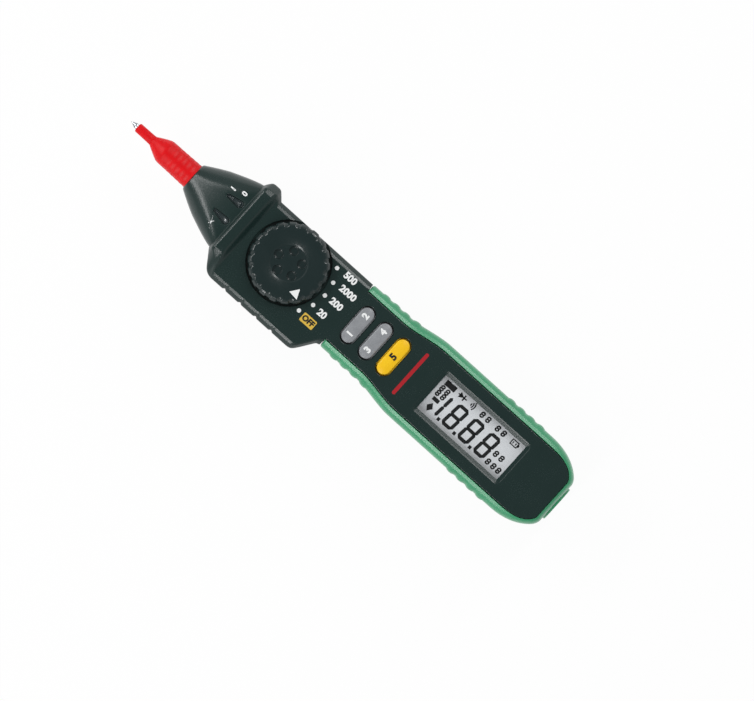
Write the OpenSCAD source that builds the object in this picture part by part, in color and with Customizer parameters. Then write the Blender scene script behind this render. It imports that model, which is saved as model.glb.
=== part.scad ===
// Pen multimeter: a probe-nosed hand meter with a thumbwheel range switch,
// three face keys, a segment display and a rubber-gripped battery handle.
// The origin lies on the resting back face, under the axis of the dial.
// +Y runs along the body to the probe tip, +X to the right, +Z out of the face.

/* [Case] */
// Depth of the rear half, from the resting face to the joint line
rear_depth = 13; // [12.6:0.1:14]
// Depth of the front half, from the joint line to the flat face
front_depth = 12; // [11.8:0.1:13.2]
// Wall of both case halves
wall = 1.6; // [1.3:0.1:1.9]
// Wall of the flat face
face_wall = 1.8; // [1.5:0.1:2.1]
// Rounding of the deck's upper edges
deck_edge = 2; // [1.2:0.1:2]
// Rounding of the lower edges
back_edge = 3; // [2:0.25:3.5]
// Diameter of the case screws' heads
case_head_d = 4; // [3.4:0.1:4.4]
// Diameter of the case screws' shanks
case_shank_d = 2.2; // [1.8:0.1:2.6]

/* [Nose and collar] */
// Length of the nose, from its mouth to the collar
nose_len = 21.5; // [20:0.5:26]
// Radius of the nose at its mouth
mouth_r = 5.6; // [5.5:0.1:6.2]
// Half width of the nose where it meets the collar
nose_half = 14.9; // [13.5:0.1:15.4]
// Length of the raised finger collar
collar_len = 8; // [7:0.25:9.5]
// Height of the collar above the face
collar_rise = 2; // [1:0.1:2.6]
// Reach of the collar's right end from the centreline
collar_reach = 17.9; // [17:0.1:19]
// Length of a lamp window
lamp_len = 7; // [6.5:0.1:7.4]
// Width of a lamp window at its wide end
lamp_w = 2.6; // [2.2:0.1:3]
// Spacing of the two rows of lamp windows
lamp_gauge = 7.9; // [7.4:0.1:8.4]

/* [Deck] */
// Distance from the dial axis to the collar
dial_to_collar = 17.5; // [17:0.25:20]
// Distance from the dial axis to the grip
dial_to_grip = 28; // [27:0.25:32]
// Half width of the deck on its straight side
deck_half = 14.6; // [14.4:0.05:14.8]
// Reach of the bulge from the centreline
bulge_reach = 23; // [22.4:0.1:25]
// Depth of the finger notches in the bulge
notch_depth = 0.5; // [0.2:0.05:0.8]
// Pitch of the finger notches
notch_pitch = 7.7; // [6.5:0.1:8.5]

/* [Handle] */
// Length of the rubber grip
grip_len = 102.3; // [102:0.25:112]
// Half width of the grip's neck, beside the keys
neck_half = 14.9; // [14.7:0.1:15.6]
// Half width of the grip beside the display
main_half = 17.2; // [17:0.1:19]
// Length of the neck
neck_len = 19; // [17:0.5:21]
// Length of the flare between the neck and the main part
flare_len = 14; // [12:0.5:15]
// Length of the rounded tail
tail_len = 15.3; // [14:0.25:17]
// Width of the rubber band beside the face
band = 3.5; // [3:0.1:3.6]
// Width of the rubber band across the tail
tail_band = 2; // [1.5:0.1:2.6]
// Height of the finger ribs on the grip
rib_h = 0.45; // [0.2:0.05:0.8]
// Pitch of the finger ribs
rib_pitch = 4.9; // [4:0.1:5.2]

/* [Probe] */
// Radius of the probe needle
needle_r = 1; // [0.7:0.05:1.1]
// Length of bare needle ahead of the sleeve
needle_out = 3; // [2.5:0.1:6]
// Radius of the sleeve's thin neck
neck_r = 1.75; // [1.5:0.05:2.2]
// Length of the sleeve's thin neck
neck_run = 7.5; // [5:0.25:12]
// Length of the sleeve's shoulder
shoulder_run = 5.5; // [4:0.25:8]
// Radius of the sleeve's barrel
barrel_r = 4.9; // [4.4:0.05:4.9]
// Length of the sleeve's barrel ahead of the nose
barrel_run = 14; // [12:0.25:18]

/* [Range dial] */
// Radius of the dial
knob_r = 15; // [14.9:0.05:15.2]
// Height of the dial
knob_h = 5.8; // [4.6:0.1:6.4]
// Depth of the well that the dial turns in
well_depth = 2; // [2:0.1:2.3]
// Number of finger scallops round the dial
scallops = 20; // [16:1:24]
// Angle between two switch positions
detent_step = 18; // [16:1:20]
// Number of switch positions
positions = 5; // [4:1:5]
// Radius of the dial's stem
stem_r = 4; // [3.6:0.1:4.4]
// Radius of the rotor under the deck
rotor_r = 11; // [10.6:0.1:11.6]
// Thickness of the rotor
rotor_t = 3.4; // [3.2:0.1:3.7]
// Radius of the detent balls
ball_r = 1; // [0.9:0.05:1.1]

/* [Keys] */
// Length of a key, across the handle
key_len = 15.4; // [14.6:0.1:16]
// Width of a key, along the handle
key_w = 5.3; // [4.9:0.1:5.5]
// Pitch of the three keys
key_pitch = 8.65; // [8.55:0.05:8.9]
// Distance from the grip's front end to the first key
key_start = 5.7; // [5.4:0.1:6.2]
// Height of the keys above the face
key_proud = 1.2; // [0.9:0.1:1.6]
// Travel of the sensing key
key_travel = 0.8; // [0.6:0.05:1]
// Tilt of a rocker key each way
rocker_tilt = 4; // [3:0.25:4.5]

/* [Display] */
// Length of the display window
window_len = 39; // [37:0.25:40]
// Width of the display window
window_w = 15.8; // [14.8:0.1:16]
// Distance from the tail's end to the window
window_start = 21.7; // [21.3:0.1:22.1]
// Width of the sloping frame round the window
bezel = 1.75; // [1.2:0.05:1.9]
// Depth of the window below the face
window_drop = 1; // [0.6:0.05:1.2]
// Thickness of the window lens
lens_t = 1.4; // [1.2:0.1:1.6]
// Thickness of the display glass
glass_t = 2.2; // [1.8:0.1:2.6]

/* [Battery bay] */
// Radius of a battery cell
cell_r = 5.25; // [5.1:0.05:5.3]
// Length of a battery cell
cell_len = 44.5; // [43.5:0.25:45]
// Thickness of the battery cover
cover_t = 1.6; // [1.4:0.1:1.9]
// Length of a compressed cell spring
spring_len = 4; // [3:0.25:4.5]

/* [Tail jack] */
// Bore of the socket contact
jack_bore_r = 2; // [1.9:0.05:2.1]
// Length of the jack body
jack_len = 18.5; // [17.5:0.25:18.75]
// Radius of the jack body
jack_r = 5.6; // [5.4:0.05:5.8]
// Radius of the rubber boss round the jack
boss_r = 7.1; // [6.8:0.1:7.6]
// Height of the boss behind the grip
boss_out = 0.8; // [0.5:0.1:2]

/* [Board] */
// Thickness of the circuit board
board_t = 1.6; // [1.4:0.1:1.6]

/* [Fits] */
// Running clearance of a shaft in its bore
run_fit = 0.05; // [0.03:0.01:0.08]
// Clearance between pieces that are fixed to each other
seat_fit = 0.05; // [0.03:0.01:0.1]
// Moat round each key
key_gap = 0.5; // [0.45:0.05:0.6]
// Gap round the dial in its well
dial_gap = 0.5; // [0.3:0.05:0.55]

/* [Hidden] */

$fn = 64;
arc_n = 5;
// Overrun of a cut past the face that it opens
cut = 1;

// Heights of the case
split_z = rear_depth;
face_z = split_z + front_depth;
under_z = face_z - face_wall;
floor_z = wall;

// Places along the body
collar_back_y = dial_to_collar;
collar_front_y = collar_back_y + collar_len;
mouth_y = collar_front_y + nose_len;
barrel_end_y = mouth_y + barrel_run;
shoulder_end_y = barrel_end_y + shoulder_run;
sleeve_end_y = shoulder_end_y + neck_run;
tip_y = sleeve_end_y + needle_out;
deck_back_y = -dial_to_grip;
// Run of the shoulder that steps in from the deck to the handle's core
deck_step = 0.3;
grip_y = deck_back_y - deck_step;
flare_y = deck_back_y - neck_len;
flare_end_y = flare_y - flare_len;
tail_end_y = deck_back_y - grip_len;
tail_y = tail_end_y + tail_len;
core_end_y = tail_end_y + tail_band;
boss_end_y = tail_end_y - boss_out;

// Handle outline: a smooth flare, then a superellipse cut off at the tail
tail_pow = 2.2;
tail_share = 0.874;
core_pow = 3;
core_share = 0.911;
flare_n = 8;
tail_n = 9;
function smooth(u) = u * u * (3 - 2 * u);
function clamp(u) = min(max(u, 0), 1);
function taper(t, n) = pow(1 - pow(t, n), 1 / n);
function side_half(y) = neck_half + (main_half - neck_half) * smooth(clamp((flare_y - y) / flare_len));
function grip_half(y) = y >= tail_y ? side_half(y)
    : main_half * taper((tail_y - y) / tail_len * tail_share, tail_pow);
function core_half(y) = y >= tail_y ? side_half(y) - band
    : (main_half - band) * taper((tail_y - y) / (tail_y - core_end_y) * core_share, core_pow);
// Stations crowd towards the tail's corner
function crowd(k, n) = 1 - pow(1 - k / n, 1.6);
function insert(v, list) = concat([for (y = list) if (y > v) y], [v], [for (y = list) if (y < v) y]);
// Run over which the cavity opens behind a bored end wall
wall_step = 0.5;
tail_wall_y = core_end_y + wall;
core_ys = insert(tail_wall_y, insert(tail_wall_y + wall_step, concat(
    [for (k = [0:flare_n]) flare_y - flare_len * k / flare_n],
    [for (k = [0:tail_n]) tail_y - (tail_y - core_end_y) * crowd(k, tail_n)])));

// Nose: a round mouth that grows into the collar's broad section
nose_pow = 1.4;
nose_n = 7;
mouth_n = 4;
mouth_wall = 6.5;
mouth_wall_y = mouth_y - mouth_wall;
cavity_y = mouth_wall_y - wall_step;
nose_ys = concat(
    [for (k = [0:mouth_n]) mouth_y - mouth_wall * k / mouth_n],
    [for (k = [0:nose_n]) cavity_y - (cavity_y - collar_front_y) * k / nose_n]);
function grow(t) = 1 - pow(1 - t, nose_pow);
// Share of the half section that the rounded corner takes at the mouth
mouth_corner_share = 0.93;
// Corner of the nose where it meets the collar
nose_corner = 5;

// Collar: stations behind its front edge, each with its height share,
// its reach share and the x place share of its left flank, chosen by hand
collar_share = [[0, 0.1, 0.05], [0.16, 0.9, 0.62], [0.3, 1, 0.97],
    [0.62, 1, 1], [0.82, 0.5, 0.62], [1, 0, 0]];
// Bulge: left reach shares between the nose and the full bulge, and where they lie
bulge_front_share = [[0, 0.03], [0.1, 0.24], [0.35, 0.55], [0.6, 0.8], [0.85, 0.95], [1, 1]];
bulge_front_run = 8;
bulge_back_share = [[0, 1], [0.12, 0.93], [0.4, 0.62], [1, 0.03]];
bulge_back_run = 7;
bulge_back_gap = 0.6;
bulge_front_y = collar_front_y;
bulge_full_y = bulge_front_y - bulge_front_run;
bulge_end_y = deck_back_y + bulge_back_gap;
bulge_turn_y = bulge_end_y + bulge_back_run;
// Crest half width and the fall of the collar's rounded ends
crest_half = 13.4;
end_fall = 4.6;
core_edge = 0.6;

left_plan = concat(
    [for (s = bulge_back_share)
        [bulge_turn_y - bulge_back_run * s[0], deck_half + (bulge_reach - deck_half) * s[1]]],
    [for (s = bulge_front_share)
        [bulge_front_y - bulge_front_run * s[0], nose_half + (bulge_reach - nose_half) * s[1]]]);
right_plan = [for (s = collar_share)
    [collar_front_y - collar_len * s[0], deck_half + (collar_reach - deck_half) * s[2]]];
rise_plan = [for (s = collar_share) [collar_front_y - collar_len * s[0], collar_rise * s[1]]];

// One section: [y, left reach, right reach, height, left corner, right corner, corner fall]
function nose_section(y, depth) = let (
        t = (mouth_y - y) / nose_len,
        g = grow(t),
        a = mouth_r + (nose_half - mouth_r) * g,
        h = mouth_r + (depth - mouth_r) * g,
        rx = mouth_corner_share * a * (1 - t) + nose_corner * t,
        rz = mouth_corner_share * h * (1 - t) + nose_corner * t)
    [y, a, a, h, rx, rx, rz];
function deck_section(y, depth, rise, edge) = let (
        xl = lookup(y, left_plan),
        xr = lookup(y, right_plan),
        k = rise / collar_rise)
    [y, xl, xr, depth + rise, edge + (xl - crest_half - edge) * k, edge + (xr - crest_half - edge) * k,
        edge + (end_fall - edge) * k];
function core_section(y, depth) = [y, core_half(y), core_half(y), depth, core_edge, core_edge, core_edge];

shoulder_y = deck_back_y + wall;
deck_ys = insert(shoulder_y, insert(shoulder_y + wall_step, concat(
    [for (s = collar_share) if (s[0] > 0) collar_front_y - collar_len * s[0]],
    [for (s = bulge_back_share) bulge_turn_y - bulge_back_run * s[0]],
    [deck_back_y])));
function case_sections(depth, collar, edge) = concat(
    [for (y = nose_ys) nose_section(y, depth)],
    [for (y = deck_ys) deck_section(y, depth, collar ? lookup(y, rise_plan) : 0, edge)],
    [core_section(grip_y, depth)],
    [for (y = core_ys) core_section(y, depth)]);

// Points of one section from its right foot over the top to its left foot
function arch(s) = concat(
    [[s[2], 0]],
    [for (k = [0:arc_n]) let (a = 90 * k / arc_n)
        [s[2] - s[5] * (1 - cos(a)), s[3] - s[6] * (1 - sin(a))]],
    [for (k = [arc_n:-1:0]) let (a = 90 * k / arc_n)
        [-s[1] + s[4] * (1 - cos(a)), s[3] - s[6] * (1 - sin(a))]],
    [[-s[1], 0]]);
// The cavity's section: walled in, and a small arch where an end wall is bored
throat_r = 3;
throat_edge = 2.7;
function cavity_half(y, reach) = y > shoulder_y ? reach - wall : core_half(max(y - wall, core_end_y)) - wall;
function cavity(s, depth, over) = s[0] >= mouth_wall_y || s[0] <= tail_wall_y
    ? [s[0], throat_r, throat_r, throat_r, throat_edge, throat_edge, throat_edge]
    : [s[0], cavity_half(s[0], s[1]), cavity_half(s[0], s[2]), min(s[3], depth) - over,
        max(s[4] - wall, core_edge), max(s[5] - wall, core_edge), max(s[6] - over, core_edge)];
function reverse(v) = [for (k = [len(v) - 1:-1:0]) v[k]];
function ring_at(points, y, dir) = [for (p = points) [p[0], y, split_z + dir * p[1]]];

// Solid between rings of equal, even length, with a ladder of quads across each end
module loft(rings, flip) {
    n = len(rings[0]);
    m = len(rings);
    sides = [for (i = [0:m - 2], j = [0:n - 1]) let (a = i * n + j, b = i * n + (j + 1) % n)
        each [[a, b, b + n], [a, b + n, a + n]]];
    caps = [for (j = [0:n / 2 - 2]) each
        [[n - 1 - j, n - 2 - j, j + 1, j], [for (k = [j, j + 1, n - 2 - j, n - 1 - j]) (m - 1) * n + k]]];
    faces = concat(sides, caps);
    polyhedron([for (r = rings) each r], flip ? faces : [for (f = faces) reverse(f)], 8);
}
// One case half: outer arches and cavity arches joined into one ring a station
module case_shell(depth, dir, collar, edge, over) {
    loft([for (s = case_sections(depth, collar, edge)) concat(
        ring_at(arch(s), s[0], dir),
        reverse(ring_at(arch(cavity(s, depth, over)), s[0], dir)))], dir < 0);
}

// Blocks, rods and pegs given by the spans that they fill
module slab(x, y, z) {
    translate([x[0], y[0], z[0]])
        cube([x[1] - x[0], y[1] - y[0], z[1] - z[0]]);
}
module rod(r, y, x, z) {
    translate([x, y[0], z])
        rotate([-90, 0, 0])
            cylinder(r = r, h = y[1] - y[0]);
}
module peg(r, z, at) {
    translate([at[0], at[1], z[0]])
        cylinder(r = r, h = z[1] - z[0]);
}
module stadium(l, w) {
    square([l - w, w], center = true);
    for (s = [-1, 1])
        translate([s * (l - w) / 2, 0])
            circle(d = w);
}

// Battery bay: two cells side by side over the cover
cell_gap = 0.2;
cell_z = cover_t + cell_gap + cell_r;
cell_x = cell_r + cell_gap / 2;
bay_half = 2 * cell_r + 2 * cell_gap;
roof_t = 1;
bay_top_z = cell_z + cell_r + cell_gap;
roof_z = bay_top_z + roof_t;
plate_t = 0.5;
lug_w = 2;
bay_len = cell_len + spring_len + 2 * plate_t;
jack_front_y = boss_end_y + jack_len;
bay_wall = 2;
bay_jack_gap = 3.6;
bay_back_y = jack_front_y + bay_jack_gap + bay_wall;
bay_front_y = bay_back_y + bay_len;
bay_front_wall = 1.4;
cover_margin = 1;
cover_half = bay_half + cover_margin;
cover_front_run = 6.2;
cover_back_run = 1.3;
cover_screw_back = 2.9;
cover_front_y = bay_front_y + cover_front_run;
cover_back_y = bay_back_y - cover_back_run;
cover_screw_y = cover_front_y - cover_screw_back;
cover_screw_r = 0.9;
cover_head_r = 1.8;
cover_head_h = 1;
cover_head_gap = 0.2;
cover_screw_len = 6;
cover_boss_r = 2.5;
cover_boss_z = 8.5;
cover_tab_w = 4;
cover_tab_t = 1.2;
cover_tab_x = 6;
cover_tab_run = 1.4;
tab_fit = 0.15;
pad_r = 1.4;
pad_x = 8;

// Circuit board: over the bay's roof, under the dial and out into the nose
board_lift = 0.6;
board_z = roof_z + board_lift;
board_top_z = board_z + board_t;
board_gap = 0.5;
board_jack_gap = 0.6;
board_end_y = jack_front_y + board_jack_gap;
board_neck = neck_half - band - wall - board_gap;
board_main = main_half - band - wall - board_gap;
board_left = bulge_reach - wall - 2 * board_gap;
board_right = deck_half - wall - board_gap;
board_set_back = 1.5;
board_front_y = collar_back_y - board_set_back;
board_low_run = 0.9;
board_low_y = bulge_turn_y + board_low_run;
tongue_w = 10.8;
tongue_back = 6;
tongue_y = mouth_wall_y - tongue_back;
shelf_w = 22;
shelf_y = collar_front_y - board_set_back;
hub_hole_r = 3.2;

// Case screws: two in the deck, two beside the jack
boss_wall = 1.7;
boss_out_r = case_shank_d / 2 + boss_wall;
head_wall = 1.3;
rear_boss_r = case_head_d / 2 + head_wall;
head_well = 5;
head_h = 1.6;
screw_bite = 6;
// Each is set in from the bulge, the deck's right side or the handle's core, and back from its end
left_screw_in = 5;
left_screw_back = 3.5;
right_screw_in = 3.8;
right_screw_back = 0.5;
tail_screw_in = 4.1;
tail_screw_back = 2;
tail_screw_x = main_half - band - tail_screw_in;
case_screws_at = [
    [left_screw_in - bulge_reach, collar_back_y - left_screw_back],
    [deck_half - right_screw_in, collar_back_y - right_screw_back],
    [tail_screw_x, tail_y - tail_screw_back],
    [-tail_screw_x, tail_y - tail_screw_back]];

// Board screws go up into posts under the face
board_shank_r = 0.9;
board_head_r = 1.7;
board_head_h = 1.2;
board_post_r = 2.2;
board_screw_run = 5;
bulge_post_in = 5.2;
bulge_post_run = 3.8;
deck_post_in = 4.4;
deck_post_run = 8;
shelf_post_x = -6;
shelf_post_back = 6;
board_screws_at = [
    [bulge_post_in - bulge_reach, bulge_turn_y + bulge_post_run],
    [deck_half - deck_post_in, deck_back_y + deck_post_run],
    [shelf_post_x, collar_front_y - shelf_post_back]];
stop_x = 6.5;
stop_r = 1.6;

// Dial, its well and its cup under the face
well_r = knob_r + dial_gap;
well_z = face_z - well_depth;
cup_wall = 1.6;
cup_z = well_z - cup_wall;
cup_r = well_r + cup_wall;
knob_lift = 0.2;
knob_z = well_z + knob_lift;
rotor_gap = 0.4;
rotor_top_z = cup_z - rotor_gap;
rotor_z = rotor_top_z - rotor_t;
ball_sink = 0.6;
ball_z = cup_z - ball_sink;
ball_ring = 8.4;
ball_angles = [90, 270];
groove_gap = 0.1;
detent_gap = 0.3;
dimple_share = 0.8;
pocket_fit = 0.05;
pocket_floor = 0.6;
flat_share = 0.8;
dial_shank_r = 1.1;
dial_head_r = 4.6;
dial_head_h = 1.2;
dial_shank_run = 8;

// Keys: caps, flanges and the stems that reach the mat's domes
mat_t = 1;
dome_r = 1.9;
dome_h = 1.4;
dome_top_z = board_top_z + mat_t + dome_h;
stem_x = 5.2;
key_stem_r = 1.2;
key_y = [for (k = [0:2]) deck_back_y - key_start - key_pitch * k];
flange_side = 0.6;
flange_edge = 0.45;
flange_len = key_len + 2 * flange_side;
flange_w = key_w + 2 * flange_edge;
flange_t = 1;
key_air = 0.12;
rocker_top = under_z - flange_len / 2 * sin(rocker_tilt) - key_air;
pivot_z = rocker_top - flange_t / 2;
pivot_r = 0.6;
pivot_bite = 0.65;
rib_gap = 0.25;
key_rib_w = key_pitch - flange_w - 2 * rib_gap;
key_rib_half = 2;
key_edge = 0.7;

// Display stack, from the face down to the board
lip = 0.4;
lens_margin = 0.8;
lens_top_z = face_z - window_drop - lip;
lens_z = lens_top_z - lens_t;
glass_gap = 0.2;
glass_top_z = lens_z - glass_gap;
glass_z = glass_top_z - glass_t;
glass_margin = 1.5;
frame_wall = 1.2;
frame_fit = 0.1;
window_y = tail_end_y + window_start + window_len / 2;
glass_half = window_w / 2 + glass_margin;
glass_run = window_len / 2 + glass_margin;
// Stops under the face stand midway between the last key's flange and the display's frame
stop_y = (key_y[2] - flange_w / 2 + window_y + glass_run + frame_fit + frame_wall) / 2;

// Probe, clamped by a flange behind the mouth
flange_r = 6.2;
probe_flange_t = 2.3;
flange_gap = 0.2;
flange_front_y = cavity_y - flange_gap;
flange_back_y = flange_front_y - probe_flange_t;
cradle_t = 1.6;
cradle_half = 4.4;
sleeve_tail_r = 2.6;
sleeve_tail_run = 2.2;
sleeve_tail_y = flange_back_y - sleeve_tail_run;
needle_tail = 1.2;
needle_back_y = collar_front_y - needle_tail;
point_run = 2.2;
sleeve_rings = 5;
ring_depth = 0.14;
ring_w = 0.9;
ring_pitch = 2.1;

// Jack body, its shroud groove and its contact
contact_r = 2.7;
contact_set_back = 1;
contact_len = jack_len - contact_set_back;
contact_end = 1.5;
shroud_in_r = 3.5;
shroud_out_r = 4.7;
shroud_depth = 11;
pin_r = 0.8;
pin_run = 1.4;
strap_w = 3;
strap_t = 0.5;

// Lamp windows: a drop shape, narrow towards the probe, set in the nose
lamp_ahead = 2;
lamp_y = collar_front_y + lamp_ahead;
lamp_small_share = 0.46;
lamp_splay = 4;
lamp_recess = 0.15;
lamp_fit = 0.08;
lamp_r = 1.5;
lamp_rim_r = 1.75;
lamp_rim_h = 0.8;
lamp_h = 3.6;
lamp_air = 0.3;
drop_n = 8;
// Outline of a drop from its wide end at the origin along +Y
function drop(r1, r2, l) = let (a = asin((r1 - r2) / l)) concat(
    [for (k = [0:2 * drop_n]) let (t = 180 - a + (180 + 2 * a) * k / (2 * drop_n)) r1 * [cos(t), sin(t)]],
    [for (k = [0:drop_n]) let (t = a + (180 - 2 * a) * k / drop_n) [0, l] + r2 * [cos(t), sin(t)]]);

module front_case() {
    color([0.13, 0.17, 0.18])
        difference() {
            union() {
                case_shell(front_depth, 1, true, deck_edge, face_wall);
                intersection() {
                    peg(cup_r, [cup_z, well_z + cut / 2], [0, 0]);
                    slab([-cup_r, deck_half - wall / 2], [-cup_r, cup_r], [cup_z, face_z]);
                }
                for (p = case_screws_at)
                    peg(boss_out_r, [split_z, under_z + face_wall / 2], p);
                for (p = board_screws_at)
                    peg(board_post_r, [board_top_z, under_z + face_wall / 2], p);
                for (s = [-1, 1])
                    peg(stop_r, [board_top_z, under_z + face_wall / 2], [s * stop_x, stop_y]);
                key_ribs();
                cradles(1);
            }
            peg(well_r, [well_z, face_z + cut], [0, 0]);
            peg(stem_r + run_fit, [cup_z - cut, face_z], [0, 0]);
            detent_track();
            for (p = case_screws_at)
                peg(case_shank_d / 2 + seat_fit, [split_z - cut, split_z + screw_bite + cut], p);
            for (p = board_screws_at)
                peg(board_shank_r + seat_fit, [board_top_z - cut, board_top_z + board_screw_run], p);
            for (y = key_y)
                translate([0, y, pivot_z])
                    linear_extrude(face_z)
                        stadium(key_len + 2 * key_gap, key_w + 2 * key_gap);
            for (y = [key_y[0], key_y[1]])
                rod(pivot_r + run_fit, [y - key_pitch / 2 + rib_gap, y + key_pitch / 2 - rib_gap],
                    0, pivot_z);
            window_cut();
            for (p = lamp_places)
                lamp_prism(p, lamp_fit, [split_z, face_z + cut]);
            end_bores();
            notches();
        }
}

// Ribs that the rocker keys' pivots press up against
module key_ribs() {
    for (k = [-0.5:1:1.5])
        translate([0, key_y[0] - key_pitch * k, 0])
            slab([-key_rib_half, key_rib_half], [-key_rib_w / 2, key_rib_w / 2],
                [pivot_z, under_z + face_wall / 2]);
}

// Walls across a case half that hold the probe's flange and the jack body
module cradles(dir) {
    depth = dir > 0 ? front_depth : rear_depth;
    probe_y = flange_back_y - seat_fit;
    probe_z = split_z + dir * (nose_section(probe_y, depth)[3] - wall / 2);
    jack_z = split_z + dir * (depth - wall / 2);
    slab([-cradle_half, cradle_half], [probe_y - cradle_t, probe_y],
        [min(split_z, probe_z), max(split_z, probe_z)]);
    for (y = [jack_front_y - cradle_t, tail_y - 2 * cradle_t])
        slab([-jack_r - cradle_t, jack_r + cradle_t], [y - cradle_t, y],
            [min(split_z, jack_z), max(split_z, jack_z)]);
}

// Track for the detent balls, with a dimple at each switch position
module detent_track() {
    track = ball_r + groove_gap;
    track_z = ball_z + ball_r + groove_gap;
    difference() {
        peg(ball_ring + track, [cup_z - cut, track_z], [0, 0]);
        peg(ball_ring - track, [cup_z - 2 * cut, track_z + cut], [0, 0]);
    }
    for (a = ball_angles, k = [0:positions - 1])
        rotate([0, 0, a + k * detent_step])
            peg(ball_r * dimple_share, [cup_z - cut, track_z + detent_gap], [ball_ring, 0]);
}

module window_cut() {
    translate([0, window_y, 0]) {
        slab([-window_w / 2, window_w / 2], [-window_len / 2, window_len / 2], [lens_z, face_z + cut]);
        slab([-window_w / 2 - lens_margin - seat_fit, window_w / 2 + lens_margin + seat_fit],
            [-window_len / 2 - lens_margin - seat_fit, window_len / 2 + lens_margin + seat_fit],
            [under_z - cut, lens_top_z + seat_fit]);
        bezel_slope();
    }
}

// Sloping frame: four planes that run down to the window
module bezel_slope() {
    low = face_z - window_drop;
    high = face_z + cut;
    spread = bezel * (1 + cut / window_drop);
    function corners(w, l, z) = [[-w, -l, z], [w, -l, z], [w, l, z], [-w, l, z]];
    loft([corners(window_w / 2, window_len / 2, low),
        corners(window_w / 2 + spread, window_len / 2 + spread, high)], false);
}

// Bores of the mouth and of the tail
module end_bores() {
    rod(barrel_r + seat_fit, [cavity_y - wall, mouth_y + cut], 0, split_z);
    rod(sleeve_tail_r + seat_fit, [sleeve_tail_y - cut, flange_back_y], 0, split_z);
    rod(jack_r + seat_fit, [core_end_y - cut, jack_front_y + seat_fit], 0, split_z);
}

module notches() {
    notch_r = 1.3;
    for (k = [-1.5:1:1.5])
        peg(notch_r, [-cut, face_z + cut],
            [-(bulge_reach - notch_depth + notch_r), (bulge_full_y + bulge_turn_y) / 2 + k * notch_pitch]);
}

module rear_case() {
    color([0.12, 0.15, 0.16])
        difference() {
            union() {
                case_shell(rear_depth, -1, false, back_edge, wall);
                for (p = case_screws_at)
                    peg(rear_boss_r, [floor_z / 2, split_z], p);
                bay_block();
                peg(cover_boss_r, [floor_z / 2, cover_boss_z], [0, cover_screw_y]);
                cradles(-1);
            }
            for (p = case_screws_at) {
                peg(case_shank_d / 2 + seat_fit, [-cut, split_z + cut], p);
                peg(case_head_d / 2 + seat_fit, [-cut, head_well + head_h], p);
            }
            slab([-bay_half, bay_half], [bay_back_y, bay_front_y], [-cut, bay_top_z]);
            slab([-cover_half - seat_fit, cover_half + seat_fit],
                [cover_back_y - seat_fit, cover_front_y + seat_fit], [-cut, cover_t + seat_fit]);
            for (s = [-1, 1]) {
                slab([s * cover_tab_x - cover_tab_w / 2 - tab_fit,
                        s * cover_tab_x + cover_tab_w / 2 + tab_fit],
                    [bay_back_y - cover_tab_run - tab_fit, bay_back_y + cut],
                    [0, cover_t + cover_tab_t + tab_fit]);
                translate([s * cell_x, bay_front_y, 0])
                    slab([-lug_w / 2 - tab_fit, lug_w / 2 + tab_fit], [-plate_t - tab_fit, cut / 2],
                        [bay_top_z - cut, roof_z + cut]);
            }
            peg(cover_screw_r + seat_fit, [-cut, cover_screw_len], [0, cover_screw_y]);
            end_bores();
            notches();
        }
}

// Bay walls and roof, with the pads that carry the board
module bay_block() {
    y = [bay_back_y - bay_wall, bay_front_y + bay_front_wall];
    slab([-bay_half - wall, bay_half + wall], y, [floor_z / 2, split_z]);
    slab([-board_main, board_main], y, [split_z - cut, roof_z]);
    for (s = [-1, 1], t = [0.25, 0.85])
        peg(pad_r, [roof_z - cut, board_z], [s * pad_x, y[0] + (y[1] - y[0]) * t]);
}

rib_steps = 4;
rib_count = 4;
rib_span = rib_pitch * rib_count;
neck_ribs_back = 6;
tail_ribs_ahead = 21;
rib_groups_y = [deck_back_y - neck_ribs_back, tail_y + tail_ribs_ahead];
grip_gap = 0.2;
grip_top_r = 4.3;
grip_back_r = 5;
// Levels of the rubber, back to front: share of the band drawn in, of the rounding and of the ribs
grip_back_share = [[0.85, 0, 0], [0.42, 0.1, 0], [0.12, 0.42, 0.5], [0, 1, 1]];
grip_top_share = [[0, 1, 1], [0.06, 0.62, 0.8], [0.26, 0.25, 0.2], [0.56, 0.05, 0], [0.86, 0, 0]];
grip_rings = concat(
    [for (s = grip_back_share) [s[0], grip_gap + grip_back_r * s[1], s[2]]],
    [for (s = grip_top_share) [s[0], face_z - grip_gap - grip_top_r * s[1], s[2]]]);
function rib_ys(y) = [for (k = [0:rib_steps * rib_count])
    y + rib_pitch / 2 - rib_pitch * k / rib_steps];
neck_rib_end_y = rib_groups_y[0] + rib_pitch / 2 - rib_span;
grip_ys = concat(
    [grip_y],
    rib_ys(rib_groups_y[0]),
    [for (k = [1:flare_n - 2])
        neck_rib_end_y - (neck_rib_end_y - flare_end_y) * k / (flare_n - 2)],
    rib_ys(rib_groups_y[1]),
    [for (y = core_ys) if (y <= tail_y) tail_y - (tail_y - y) * tail_len / (tail_y - core_end_y)]);
// One finger rib is a smooth bump, a third of the pitch wide each way
function bump(u) = abs(u) < 1 ? pow(1 - u * u, 2) : 0;
function rib_at(y) = rib_h * max([for (g = rib_groups_y, k = [0:rib_count - 1])
    bump((y - g + k * rib_pitch) / (rib_pitch / 3))]);
function grip_point(y, f, rib) = let (
        t = (tail_y - y) / tail_len,
        ty = y < tail_y ? tail_y - (tail_y - core_end_y) * t : y,
        outer = grip_half(y) + rib * rib_at(y))
    [outer + (core_half(ty) - outer) * f, y + (ty - y) * f];
// The inner wall clears the case's outline, on a point for each point of the outside
function core_fit(y) = let (
        t = (tail_y - y) / tail_len,
        ty = y < tail_y ? tail_y - (tail_y - core_end_y) * t : y)
    [core_half(ty) + seat_fit, ty - (y < tail_y ? seat_fit : 0)];
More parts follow.
